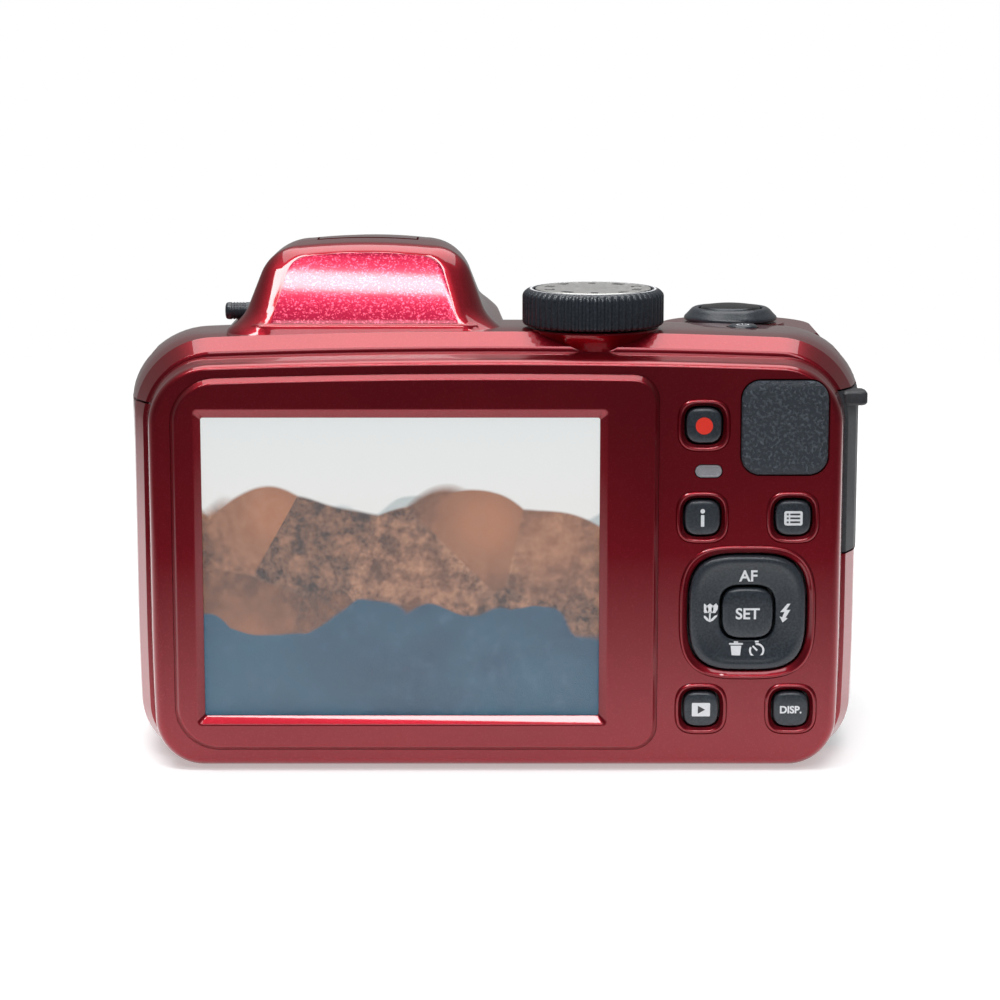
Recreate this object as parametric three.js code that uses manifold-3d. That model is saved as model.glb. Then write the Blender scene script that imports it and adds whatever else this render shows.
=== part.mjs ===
// Compact bridge-style digital camera, in millimetres, +Z up.
// +X is to the right and -Y towards the user for a person looking at the screen; the lens looks along +Y.
// The origin is on the resting surface, under the middle of the camera's bounding box.
import * as THREE from 'three';
import { mergeVertices } from 'three/addons/utils/BufferGeometryUtils.js';
import Module from 'manifold-3d';

const wasm = await Module();
wasm.setup();

// ---------------------------------------------------------------- driving dimensions
const WIDTH = 118.6;
const HEIGHT = 83;
const DEPTH = 100;
const REAR = -DEPTH / 2; // plane of the raised screen frame
const FRONT = DEPTH / 2; // front rim of the retracted lens
const HALF_WIDTH = WIDTH / 2;
const WALL = 2; // moulded shell thickness
const GAP = 0.3; // clearance between neighbouring pieces

const REAR_FACE = REAR + 1; // flat of the rear cover
const REAR_WALL_BACK = REAR + 4.5; // inner side of the rear cover's wall
const PART_LINE = REAR + 8; // where the rear cover ends
const CASING_START = PART_LINE + GAP;
const CHAMFER_END = REAR + 11.8;
const BODY_FRONT = REAR + 40.5; // front wall beside the lens and the grip
const DECK = 70.2; // highest line of the top deck
const TOP_SEAM = 58.5; // parting line between top cover and front casing

const LENS_X = -21;
const LENS_Z = 36;

const DIAL = { x: 15.7, y: REAR + 17.5, radius: 11.4, bottom: 70.0, top: 75.8, ribs: 40 };
const SHUTTER = { x: 40, y: REAR + 45.5, platform: 67.2, platformRadius: 9.2 };
const POWER = { x: 40.4, y: REAR + 24, radius: 2.4, foot: 64.6, top: 69.2 };
const FLASH_AXIS = { y: REAR + 29.5, z: 81.0 };
const FLASH_BACK = FLASH_AXIS.y + 3.7; // rear face of the flash head
const FLASH_SEAM = 73.6;
const FLASH_BUTTON = { y: REAR + 25, z: 71.3, radius: 1.4, end: -44.2, inner: -36.5 };
const DOOR = { hinge: { x: 28, z: 1.5 }, y: [-33, 13], top: 4.5 };
const PORT = { z: [34.3, 60.3], y: [REAR + 8.4, REAR + 18.5], thickness: 1.8 };
const PORT_LUG = { x: [55.3, HALF_WIDTH], y: [REAR + 8.4, REAR + 13], z: [58, 60.3] };
const BATTERY = { x: [44.6, 51.6], y: [-25, 9], z: [5, 53] };
const CARD = { x: [36, 38.1], y: [-16, 8], z: [5.2, 37.2] };

const SCREEN = {
  plate: [-51.1, 25.7, 3.6, 64.2], // left, right, bottom, top of the raised frame
  windowFront: [-47.4, 17.6, 8.0, 58.5], // mouth of the bevelled window
  windowBack: [-46.3, 16.4, 9.2, 57.2], // visible picture area
  bevelDepth: 1.0,
  depth: 2.6,
};
const KEY_SIZE = 5.5;
const KEYS = {
  record_button: [32.7, 56.0],
  info_button: [32.6, 41.3],
  menu_button: [46.9, 41.3],
  playback_button: [32.7, 10.3],
  display_button: [47.0, 10.3],
};
const PAD = { x: 39.9, z: 26.0, size: 18.4, corner: 6.4, hole: 19.4 };
const SET_KEY = { size: 8.0, corner: 2.8, hole: 8.9 };
const THUMB_PAD = [38.4, 52.4, 48.0, 63.3]; // left, right, bottom, top
const LAMP = [31.4, 35.6, 47.7, 49.7];

const SIDE_PANEL = { y: [REAR + 12.5, REAR + 33], z: [4.8, 58.2], x: 56.6, thickness: 1.2 };
const EYELET = { y: [REAR + 20, REAR + 28.5], z: [60.2, 65.6], depth: 5.6, bar: 4, barRadius: 0.8 };
const GRIP_BACK = BODY_FRONT - 8;
const GRIP_SKIN = { x: 24, y: BODY_FRONT + 2, z: [7, 57.6], thickness: 1.2 };
const HUMP_FOOT = 66.5;
const HUMP_ARCH = 0.5; // how far the middle of the hump's roof stands above its shoulders
const PANEL_FOOT = DECK + 0.4;
const KNUCKLE = { half: 8, radius: 1.5 };
const LENS_REAR = BODY_FRONT - 14;
const BARREL_BACK = BODY_FRONT + 12;
const GEAR = { rim: 29.6, pinion: 4, angle: -0.7 }; // the pinion sits at this angle beside the lens
const TRIPOD = { x: -8, y: REAR + 26, radius: 6.5, neck: 5.2, bore: 3.2, height: 5.2 };
const SCREWS = [[-46, REAR + 14], [-46, REAR + 33], [14, REAR + 33], [12, REAR + 14]];

const FAR = 90; // beyond the camera on every side
const EVERY_X = [-FAR, FAR];
const EVERY_Y = [-FAR, FAR];
const PORT_BAY = { x: [53.8, FAR], y: widened(PORT.y, GAP), z: widened(PORT.z, GAP) };

// ---------------------------------------------------------------- finishes
const FINISHES = {
  red_paint: { color: 0x7a1c28, roughness: 0.3, metalness: 0.5 },
  flake_paint: { color: 0xc23350, roughness: 0.3, metalness: 0.6 },
  black_plastic: { color: 0x30363a, roughness: 0.5, metalness: 0 },
  black_rubber: { color: 0x262a2d, roughness: 0.85, metalness: 0 },
  dark_metal: { color: 0x4a4c50, roughness: 0.35, metalness: 0.8 },
  steel: { color: 0xb8bcc0, roughness: 0.3, metalness: 1 },
  clear_glass: { color: 0xdfe6ea, roughness: 0.05, metalness: 0 },
  coated_glass: { color: 0x27304a, roughness: 0.05, metalness: 0 },
  display: { color: 0xa9b4bd, roughness: 0.2, metalness: 0 },
  green_board: { color: 0x1f5a3a, roughness: 0.6, metalness: 0 },
  gold_metal: { color: 0xc9a04a, roughness: 0.35, metalness: 1 },
  grey_plastic: { color: 0x8b8f94, roughness: 0.5, metalness: 0 },
};

function widened([from, to], by) {
  return [from - by, to + by];
}

const camera = new THREE.Group();
camera.name = 'compact_digital_camera';

// ---------------------------------------------------------------- solids from three.js geometry
function solid(geometry) {
  const bare = geometry.clone();
  bare.deleteAttribute('normal');
  bare.deleteAttribute('uv');
  const merged = mergeVertices(bare, 1e-4);
  const mesh = new wasm.Mesh({
    numProp: 3,
    vertProperties: new Float32Array(merged.attributes.position.array),
    triVerts: new Uint32Array(merged.index.array),
  });
  return new wasm.Manifold(mesh);
}

function geometryOf(body) {
  const mesh = body.getMesh();
  const geometry = new THREE.BufferGeometry();
  geometry.setAttribute('position', new THREE.BufferAttribute(mesh.vertProperties, 3));
  geometry.setIndex(new THREE.BufferAttribute(mesh.triVerts, 1));
  geometry.computeVertexNormals();
  return geometry;
}

function piece(name, body, finish) {
  const mesh = new THREE.Mesh(geometryOf(body), new THREE.MeshStandardMaterial(FINISHES[finish]));
  mesh.name = name;
  camera.add(mesh);
}

function box(x, y, z) {
  const geometry = new THREE.BoxGeometry(x[1] - x[0], y[1] - y[0], z[1] - z[0]);
  geometry.translate((x[0] + x[1]) / 2, (y[0] + y[1]) / 2, (z[0] + z[1]) / 2);
  return solid(geometry);
}

// A turned piece about a line along +Y. The profile's points are [radius, y].
function turnedY(x, z, profile, segments = 48) {
  const points = profile.map(([radius, y]) => new THREE.Vector2(radius, y));
  const geometry = new THREE.LatheGeometry(points, segments);
  geometry.translate(x, 0, z);
  return solid(geometry);
}

// A turned piece about a line along +Z. The profile's points are [radius, z].
function turnedZ(x, y, profile, segments = 32) {
  const points = profile.map(([radius, z]) => new THREE.Vector2(radius, z));
  const geometry = new THREE.LatheGeometry(points, segments);
  geometry.rotateX(Math.PI / 2);
  geometry.translate(x, y, 0);
  return solid(geometry);
}

const rod = (radius, from, to) => [[0, from], [radius, from], [radius, to], [0, to]];
const tube = (outer, inner, from, to) =>
  [[outer, from], [outer, to], [inner, to], [inner, from], [outer, from]];

// A flat outline in the X-Z plane, extruded along Y from y[0] to y[1].
function prismY(shape, y, curveSegments = 5) {
  const depth = y[1] - y[0];
  const geometry = new THREE.ExtrudeGeometry(shape, { depth, bevelEnabled: false, curveSegments });
  geometry.rotateX(Math.PI / 2);
  geometry.translate(0, y[1], 0);
  return solid(geometry);
}

// A flat outline in the X-Y plane, extruded along Z from z[0] to z[1].
function prismZ(shape, z) {
  const geometry = new THREE.ExtrudeGeometry(shape, { depth: z[1] - z[0], bevelEnabled: false });
  geometry.translate(0, 0, z[0]);
  return solid(geometry);
}

function roundedRectangle(left, right, bottom, top, corner, leftCorner = corner) {
  const shape = new THREE.Shape();
  shape.moveTo(left + leftCorner, bottom);
  shape.lineTo(right - corner, bottom);
  shape.absarc(right - corner, bottom + corner, corner, -Math.PI / 2, 0, false);
  shape.lineTo(right, top - corner);
  shape.absarc(right - corner, top - corner, corner, 0, Math.PI / 2, false);
  shape.lineTo(left + leftCorner, top);
  shape.absarc(left + leftCorner, top - leftCorner, leftCorner, Math.PI / 2, Math.PI, false);
  shape.lineTo(left, bottom + leftCorner);
  shape.absarc(left + leftCorner, bottom + leftCorner, leftCorner, Math.PI, 1.5 * Math.PI, false);
  return shape;
}

const squareShape = (x, z, size, corner) =>
  roundedRectangle(x - size / 2, x + size / 2, z - size / 2, z + size / 2, corner);

// A closed skin through rings of equal point counts, capped flat at both ends.
function loft(rings) {
  const count = rings[0].length;
  const positions = rings.flat().flatMap((point) => [point.x, point.y, point.z]);
  const index = [];
  for (let ring = 0; ring < rings.length - 1; ring += 1) {
    for (let i = 0; i < count; i += 1) {
      const next = (i + 1) % count;
      const a = ring * count + i;
      const b = ring * count + next;
      index.push(a, b, b + count, a, b + count, a + count);
    }
  }
  const last = (rings.length - 1) * count;
  for (let i = 1; i < count - 1; i += 1) {
    index.push(0, i + 1, i);
    index.push(last, last + i, last + i + 1);
  }
  const geometry = new THREE.BufferGeometry();
  geometry.setAttribute('position', new THREE.Float32BufferAttribute(positions, 3));
  geometry.setIndex(index);
  return solid(geometry);
}

// Points of an arc from angle a to angle b, both ends included.
function arc(cx, cy, rx, ry, a, b, steps) {
  const points = [];
  for (let i = 0; i <= steps; i += 1) {
    const angle = a + ((b - a) * i) / steps;
    points.push([cx + rx * Math.cos(angle), cy + ry * Math.sin(angle)]);
  }
  return points;
}

// ---------------------------------------------------------------- outer form
const CROWN = 1.6; // how far the deck falls from the middle to the sides
const LEAN_BELOW = 25; // height under which the sides lean in
const LEAN = 0.012;

// One section of the body at depth y: a rounded rectangle with a crowned top whose sides lean in below.
function bodySection({ y, half, bottom, top, topRadius, bottomRadius }, inset = 0) {
  const h = half - inset;
  const low = bottom + inset;
  const high = top - inset;
  const rt = topRadius - inset;
  const rb = bottomRadius - inset;
  const quarter = Math.PI / 2;
  const outline = [
    ...arc(h - rb, low + rb, rb, rb, -quarter, 0, 4),
    ...arc(h - rt, high - rt, rt, rt, 0, quarter, 5),
    [(h - rt) / 2, high],
    [0, high],
    [-(h - rt) / 2, high],
    ...arc(-h + rt, high - rt, rt, rt, quarter, 2 * quarter, 5),
    ...arc(-h + rb, low + rb, rb, rb, 2 * quarter, 3 * quarter, 4),
  ];
  return outline.map(([x, z]) => {
    const lean = z < LEAN_BELOW ? 1 - LEAN * ((LEAN_BELOW - z) / LEAN_BELOW) ** 2 : 1;
    const crown = 1 - (CROWN * (x / HALF_WIDTH) ** 2 * z) / DECK ** 2;
    return new THREE.Vector3(x * lean, y, z * crown);
  });
}

const section = (y, half, bottom, top, topRadius, bottomRadius) =>
  ({ y, half, bottom, top, topRadius, bottomRadius });
const CASING_SECTIONS = [
  section(CASING_START, 56.0, 0.9, 67.3, 11, 8),
  section(CHAMFER_END, 57.8, 0, 69.5, 12.5, 9),
  section(REAR + 16, 58.6, 0, 69.7, 11.8, 9.5),
  section(REAR + 23, HALF_WIDTH, 0, 69.5, 11.2, 10),
  section(REAR + 32, HALF_WIDTH - 0.2, 0, 69.0, 11.2, 10),
  section(BODY_FRONT - 2.6, 57.6, 0.5, 67.9, 11.5, 10),
  section(BODY_FRONT, 55, 2.6, 65.6, 11, 8.5),
];
const COVER_SECTIONS = [
  section(REAR_FACE, 53.0, 2.1, 65.4, 8, 6),
  section(REAR_FACE + 0.6, 54.1, 1.2, 66.0, 9, 6.9),
  section(REAR_FACE + 2, 54.7, 0.8, 66.4, 9.6, 7.4),
  section(PART_LINE, 55.5, 0.6, 66.8, 10, 7.8),
];

// One level section of the grip: straight at the back, round at the front.
function gripSection({ z, left, right, front, radius }, inset = 0) {
  const l = left + inset;
  const r = right - inset;
  const f = front - inset;
  const round = radius - inset;
  const quarter = Math.PI / 2;
  const outline = [
    [l, GRIP_BACK],
    [r, GRIP_BACK],
    ...arc(r - round, f - round, round, round, 0, quarter, 4),
    ...arc(l + round, f - round, round, round, quarter, 2 * quarter, 4),
  ];
  return outline.map(([x, y]) => new THREE.Vector3(x, y, z));
}

const gripLevel = (z, left, right, front, radius) => ({ z, left, right, front, radius });
const GRIP_TOP = SHUTTER.platform - 0.5;
const GRIP_LEVELS = [
  gripLevel(0.4, 25, 54.5, 17, 11),
  gripLevel(2.4, 23.2, 56.8, 20, 12.5),
  gripLevel(12, 22.6, 58.2, 22.6, 13.5),
  gripLevel(28, 22.4, 59.0, 24, 14),
  gripLevel(45, 22.6, 59.0, 23, 14),
  gripLevel(56, 23.4, 57.8, 18.5, 14),
  gripLevel(63, 25.5, 56.2, 12.5, 13.5),
  gripLevel(GRIP_TOP, 28, 53.5, 7.5, 12.5),
];

// One section of the flash hump: straight flanks that round over into a gently arched top. The section's
// plane leans forward by lean for each millimetre above HUMP_FOOT.
function humpSection({ y, lean, foot, shoulder, top, round }, inset = 0, ahead = 0) {
  const t = top - inset;
  const f = foot - inset;
  const s = shoulder - inset;
  const quarter = Math.PI / 2;
  const tilt = Math.atan2(f - s, t - round - HUMP_FOOT);
  const outline = [
    [f, HUMP_FOOT],
    ...arc(s - round, t - round, round, round, tilt, quarter, 4),
    [0, t + HUMP_ARCH],
    ...arc(-s + round, t - round, round, round, quarter, 2 * quarter - tilt, 4),
    [-f, HUMP_FOOT],
  ];
  return outline.map(([x, z]) => new THREE.Vector3(LENS_X + x, y + ahead + lean * (z - HUMP_FOOT), z));
}

const humpStation = (y, lean, foot, shoulder, top, round) => ({ y, lean, foot, shoulder, top, round });
const HUMP_PANEL = humpStation(REAR + 10.3, 0.7, 16.4, 12.9, 80.9, 3.5);
const HUMP_STATIONS = [
  HUMP_PANEL,
  humpStation(REAR + 12.6, 0.62, 21.4, 17.5, 82, 6.4),
  humpStation(REAR + 19.5, 0.35, 21.3, 17.4, 82.3, 7),
  humpStation(REAR + 33, 0, 21.0, 17.2, HEIGHT - HUMP_ARCH, 7.6),
  humpStation(REAR + 50, 0, 20.4, 16.4, HEIGHT - 2, 7),
  humpStation(REAR + 62.5, 0, 18.8, 14.9, HEIGHT - 3.1, 6.4),
  humpStation(REAR + 65.5, 0, 17.4, 13.5, HEIGHT - 4.4, 5.4),
];

const bodyLoft = (inset, sections) => loft(sections.map((each) => bodySection(each, inset)).reverse());

function casingForm(inset) {
  const sections = CASING_SECTIONS.map((each, i) => {
    const y = i === 0 && inset > 0 ? each.y - 1 : each.y;
    return { ...each, y: i === CASING_SECTIONS.length - 1 ? y - inset : y };
  });
  const grip = GRIP_LEVELS.map((each, i) => {
    const z = i === 0 ? each.z + inset : each.z;
    return gripSection({ ...each, z: i === GRIP_LEVELS.length - 1 ? z - inset : z }, inset);
  });
  return bodyLoft(inset, sections).add(loft(grip));
}

function humpForm(inset) {
  const last = HUMP_STATIONS.length - 1;
  const rings = HUMP_STATIONS.map((each, i) => {
    const ahead = i === 0 ? inset : 0;
    return humpSection(each, inset, i === last ? -inset : ahead);
  });
  return loft(rings.reverse());
}

// The slab of the hump's sloping rear panel, or the pocket it sits in when grown by a gap.
function humpPanelForm(grow, front, back) {
  const rings = [humpSection(HUMP_PANEL, 0.4 - grow, back), humpSection(HUMP_PANEL, 0.4 - grow, front)];
  return loft(rings).intersect(box(EVERY_X, EVERY_Y, [PANEL_FOOT - grow, HEIGHT]));
}
const OUTER = casingForm(0);
const CAVITY = casingForm(WALL);
const HUMP = humpForm(0);
const HUMP_CAVITY = humpForm(3);

// ---------------------------------------------------------------- rear cover and what shows through it
function coverForm() {
  const rings = COVER_SECTIONS.map((each) => bodySection(each));
  return loft(rings.reverse());
}

function coverCavity() {
  const sections = COVER_SECTIONS.slice(-2).map((each) => ({ ...each }));
  sections[0].y = REAR_WALL_BACK;
  sections[1].y = PART_LINE + 1;
  return loft(sections.map((each) => bodySection(each, WALL)).reverse());
}

const grown = ([left, right, bottom, top], by) => [left - by, right + by, bottom - by, top + by];

// A prism whose top edge falls towards the sides as the deck does.
function crowned(shape, y) {
  return prismY(shape, y, 4).refineToLength(6).warp((point) => {
    point[2] *= 1 - (CROWN * (point[0] / HALF_WIDTH) ** 2 * point[2]) / DECK ** 2;
  }).simplify(0.02);
}

function makeRearCover() {
  const pocket = roundedRectangle(...grown(SCREEN.plate, 0.2), 4, 7);
  const opening = roundedRectangle(...grown(SCREEN.windowFront, 1.3), 1);
  const cuts = [
    crowned(pocket, [REAR - 1, REAR + SCREEN.depth + GAP]),
    prismY(opening, [REAR - 1, REAR_WALL_BACK + 1]),
    prismY(squareShape(PAD.x, PAD.z, 21.2, 7.6), [REAR, REAR_FACE + 0.7], 4),
    prismY(squareShape(PAD.x, PAD.z, PAD.hole, 6.9), [REAR, REAR_WALL_BACK + 1], 4),
    prismY(roundedRectangle(...grown(THUMB_PAD, GAP), 3.6), [REAR, REAR_FACE + 1.3], 3),
    prismY(roundedRectangle(...grown(LAMP, 0.2), 1.1), [REAR, REAR_WALL_BACK + 1], 3),
  ];
  for (const [x, z] of Object.values(KEYS)) {
    cuts.push(prismY(squareShape(x, z, 8.2, 3), [REAR, REAR_FACE + 0.7], 2));
    cuts.push(prismY(squareShape(x, z, KEY_SIZE + 2 * GAP, 2.1), [REAR, REAR_WALL_BACK + 1], 2));
  }
  const cover = cuts.reduce((body, cut) => body.subtract(cut), coverForm().subtract(coverCavity()));
  piece('rear_cover', cover, 'red_paint');
}

function makeScreen() {
  const [left, right, bottom, top] = SCREEN.plate;
  const front = SCREEN.windowFront;
  const back = SCREEN.windowBack;
  const ring = ([l, r, b, t], y) =>
    [[l, b], [r, b], [r, t], [l, t]].map(([x, z]) => new THREE.Vector3(x, y, z));
  const bevel = [ring(back, REAR + SCREEN.bevelDepth), ring(front, REAR), ring(grown(front, 0.9), REAR - 1)];
  const bevelled = loft(bevel);
  const plate = crowned(roundedRectangle(left, right, bottom, top, 4, 7), [REAR, REAR + SCREEN.depth])
    .subtract(bevelled)
    .subtract(box(back.slice(0, 2), [REAR, REAR + 5], back.slice(2)))
    .subtract(prismY(roundedRectangle(...grown(back, 2), 1), [REAR + SCREEN.bevelDepth, REAR + 5], 2));
  piece('screen_frame', plate, 'red_paint');
  const [l, r, b, t] = grown(back, 1.7);
  piece('screen_window', box([l, r], [REAR + 1.5, REAR + SCREEN.depth], [b, t]), 'clear_glass');
  piece('screen_panel', box([l, r], [REAR + 2.9, REAR + 5.7], [b, t]), 'display');
  const backing = box(widened([l, r], 1.5), [REAR + 6.1, REAR + 6.8], widened([b, t], 1.5));
  piece('screen_backing_plate', backing, 'steel');
}

function makeKeys() {
  const flangeY = [REAR_WALL_BACK + GAP, REAR_WALL_BACK + 1];
  for (const [name, [x, z]] of Object.entries(KEYS)) {
    const cap = prismY(squareShape(x, z, KEY_SIZE, 1.9), [REAR + 0.4, REAR_WALL_BACK + 1], 2);
    const flange = prismY(squareShape(x, z, KEY_SIZE + 2, 2.2), flangeY, 1);
    piece(name, cap.add(flange), 'black_plastic');
  }
  const padPrism = (size, corner, y, steps) => prismY(squareShape(PAD.x, PAD.z, size, corner), y, steps);
  const padHole = padPrism(SET_KEY.hole, 3.1, [REAR, REAR + 8], 3);
  const padCap = padPrism(PAD.size, PAD.corner, [REAR + 0.3, REAR_WALL_BACK + 1.2], 4);
  const padFlange = padPrism(PAD.size + 2.2, PAD.corner + 0.8, [REAR + 5.2, REAR + 5.8], 3);
  piece('four_way_pad', padCap.add(padFlange).subtract(padHole), 'black_plastic');
  const setCap = padPrism(SET_KEY.size, SET_KEY.corner, [REAR + 0.1, REAR + 6.6], 3);
  const setFlange = padPrism(SET_KEY.size + 3, 3.6, [REAR + 6.2, REAR + 6.8], 2);
  piece('set_button', setCap.add(setFlange), 'black_plastic');
  const gimbal = padPrism(17.4, 5.6, [REAR + 6.6, REAR + 7.2], 2)
    .subtract(padPrism(12.6, 4.2, [REAR + 6, REAR + 8], 2));
  piece('pad_rocker_ring', gimbal, 'grey_plastic');
  piece('key_board', box([28, 52], [REAR + 8.6, REAR + 9.4], [5.5, 62]), 'green_board');
}

function makeRearTrim() {
  const thumb = prismY(roundedRectangle(...THUMB_PAD, 3.4), [REAR + 0.1, REAR_FACE + 1], 4);
  piece('thumb_rest', thumb, 'black_rubber');
  const lamp = prismY(roundedRectangle(...LAMP, 0.95), [REAR_FACE + 0.05, REAR_WALL_BACK + 0.6], 4);
  piece('status_lamp', lamp, 'grey_plastic');
}

// ---------------------------------------------------------------- casing shells
function panelBox(side, grow) {
  const x = side > 0 ? [SIDE_PANEL.x - grow, FAR] : [-FAR, -SIDE_PANEL.x + grow];
  return box(x, widened(SIDE_PANEL.y, grow), widened(SIDE_PANEL.z, grow));
}

const gripBox = (grow) =>
  box([GRIP_SKIN.x - grow, FAR], [GRIP_SKIN.y - grow, FAR], widened(GRIP_SKIN.z, grow));
const portBay = () => box(PORT_BAY.x, PORT_BAY.y, PORT_BAY.z);
const lensHole = (radius, from) => turnedY(LENS_X, LENS_Z, rod(radius, from, FRONT), 40);

function casingCuts() {
  const sides = panelBox(-1, GAP).add(panelBox(1, GAP)).subtract(casingForm(SIDE_PANEL.thickness + GAP));
  const door = box([DOOR.hinge.x - 1.6, FAR], widened(DOOR.y, GAP), [-1, DOOR.top + GAP]);
  const screwHoles = SCREWS.map(([x, y]) => turnedZ(x, y, rod(1.9, -1, 1.2), 12));
  return [
    sides,
    gripBox(GAP).subtract(casingForm(GRIP_SKIN.thickness + GAP)),
    lensHole(31, BODY_FRONT - 6),
    turnedZ(TRIPOD.x, TRIPOD.y, rod(TRIPOD.radius + GAP, -1, 5), 24),
    door,
    portBay(),
    ...screwHoles,
  ];
}

function makeFrontCasing() {
  const shell = OUTER.subtract(CAVITY).intersect(box(EVERY_X, EVERY_Y, [-1, TOP_SEAM - GAP / 2]));
  piece('front_casing', casingCuts().reduce((body, cut) => body.subtract(cut), shell), 'red_paint');
}

function makeSidePanels() {
  for (const [name, side] of [['side_panel_left', -1], ['side_panel_right', 1]]) {
    let panel = OUTER.intersect(panelBox(side, 0)).subtract(casingForm(SIDE_PANEL.thickness));
    if (side > 0) panel = panel.subtract(portBay());
    piece(name, panel, 'red_paint');
  }
}

function makeGripCover() {
  const skin = OUTER.intersect(gripBox(0)).subtract(casingForm(GRIP_SKIN.thickness));
  piece('grip_cover', skin, 'black_rubber');
}

const flashZone = (grow) => box(EVERY_X, [FLASH_BACK - grow, FAR], [FLASH_SEAM - grow, FAR]);
const knuckleX = (grow) => widened([LENS_X - KNUCKLE.half, LENS_X + KNUCKLE.half], grow);
const knuckleRoom = () => box(
  knuckleX(GAP),
  [FLASH_AXIS.y - KNUCKLE.radius - GAP, FLASH_BACK + 1],
  [FLASH_AXIS.z - KNUCKLE.radius - 2 * GAP, FAR],
);

function makeTopCover() {
  const shell = OUTER.subtract(CAVITY).intersect(box(EVERY_X, EVERY_Y, [TOP_SEAM + GAP / 2, 90]));
  const collarTop = DIAL.bottom - GAP;
  const collar = turnedZ(DIAL.x, DIAL.y, [
    [0, 65.4], [7.4, 65.4], [10.7, collarTop - GAP], [10.7, collarTop], [0, collarTop],
  ], 40);
  const { platform, platformRadius } = SHUTTER;
  const stand = turnedZ(SHUTTER.x, SHUTTER.y, rod(platformRadius, platform - 3, platform), 36);
  const hump = HUMP.subtract(flashZone(GAP)).subtract(knuckleRoom());
  const hollow = HUMP_CAVITY.intersect(box(EVERY_X, EVERY_Y, [60, FLASH_SEAM - 2]));
  const cuts = [
    hollow.add(HUMP_CAVITY.intersect(CAVITY)),
    lensHole(33.8, BODY_FRONT - 0.1),
    lensHole(31, BODY_FRONT - 6),
    turnedZ(DIAL.x, DIAL.y, rod(4.3, 50, FAR), 20),
    turnedZ(SHUTTER.x, SHUTTER.y, rod(6.6, 50, FAR), 28),
    turnedZ(POWER.x, POWER.y, rod(POWER.radius + GAP, 50, FAR), 20),
    turnedZ(DIAL.x, DIAL.y, rod(DIAL.radius + 0.6, collarTop, FAR), 40),
    turnedZ(SHUTTER.x, SHUTTER.y, rod(platformRadius + 0.5, platform, FAR), 36),
    humpPanelForm(GAP, -2, 1.5),
    flashButtonForm(GAP, FLASH_BUTTON.end - 10, FLASH_BUTTON.inner + 1.5),
    portBay(),
    eyeletRecess(-1),
    eyeletRecess(1),
  ];
  const cover = cuts.reduce((body, cut) => body.subtract(cut), shell.add(collar).add(stand).add(hump));
  piece('top_cover', cover, 'red_paint');
}

function eyeletRecess(side) {
  const inner = HALF_WIDTH - EYELET.depth;
  return box(side > 0 ? [inner, FAR] : [-FAR, -inner], EYELET.y, EYELET.z);
}

function flashButtonForm(grow, end, inner) {
  const radius = FLASH_BUTTON.radius + grow;
  const geometry = new THREE.CylinderGeometry(radius, radius, inner - end, 20);
  geometry.rotateZ(Math.PI / 2);
  geometry.translate((end + inner) / 2, FLASH_BUTTON.y, FLASH_BUTTON.z);
  return solid(geometry);
}

function makeStrapBars() {
  for (const [name, side] of [['strap_bar_left', -1], ['strap_bar_right', 1]]) {
    const middle = (EYELET.z[0] + EYELET.z[1]) / 2;
    const x = side * (HALF_WIDTH - EYELET.bar);
    const bar = turnedY(x, middle, rod(EYELET.barRadius, ...widened(EYELET.y, -GAP)), 12);
    piece(name, bar, 'steel');
  }
}

function makeHumpPanel() {
  piece('hump_rear_panel', humpPanelForm(0, 0, 1.2), 'flake_paint');
}

// ---------------------------------------------------------------- pop-up flash
function makeFlash() {
  const head = HUMP.intersect(flashZone(0));
  const window = { x: [LENS_X - 11.5, LENS_X + 11.5], z: [FLASH_SEAM + 0.9, HEIGHT - 5.4] };
  const bay = box(widened(window.x, GAP), [REAR + 54, FRONT], widened(window.z, GAP));
  const hollow = HUMP_CAVITY.intersect(box(EVERY_X, [FLASH_BACK + 1.6, REAR + 53], [FLASH_SEAM - 1, HEIGHT]));
  const barrel = new THREE.CylinderGeometry(KNUCKLE.radius, KNUCKLE.radius, 2 * KNUCKLE.half, 16);
  barrel.rotateZ(Math.PI / 2);
  barrel.translate(LENS_X, FLASH_AXIS.y, FLASH_AXIS.z);
  const armZ = [FLASH_AXIS.z - KNUCKLE.radius, FLASH_AXIS.z + KNUCKLE.radius - 0.2];
  const arm = box(knuckleX(0), [FLASH_AXIS.y, FLASH_BACK + 1.2], armZ);
  piece('flash_head', head.subtract(bay).subtract(hollow).add(arm).add(solid(barrel)), 'red_paint');
  const front = HUMP.intersect(box(window.x, [REAR + 62.2, FRONT], window.z));
  piece('flash_window', front, 'clear_glass');
  const bowl = box(widened(window.x, -0.8), [REAR + 56, REAR + 62], [window.z[0] + 0.8, window.z[1]]);
  const tray = box(window.x, [REAR + 54.4, REAR + 61.6], window.z).subtract(bowl);
  piece('flash_reflector', tray, 'steel');
  piece('flash_release_button', flashButtonForm(0, FLASH_BUTTON.end, FLASH_BUTTON.inner), 'black_plastic');
}

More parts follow.
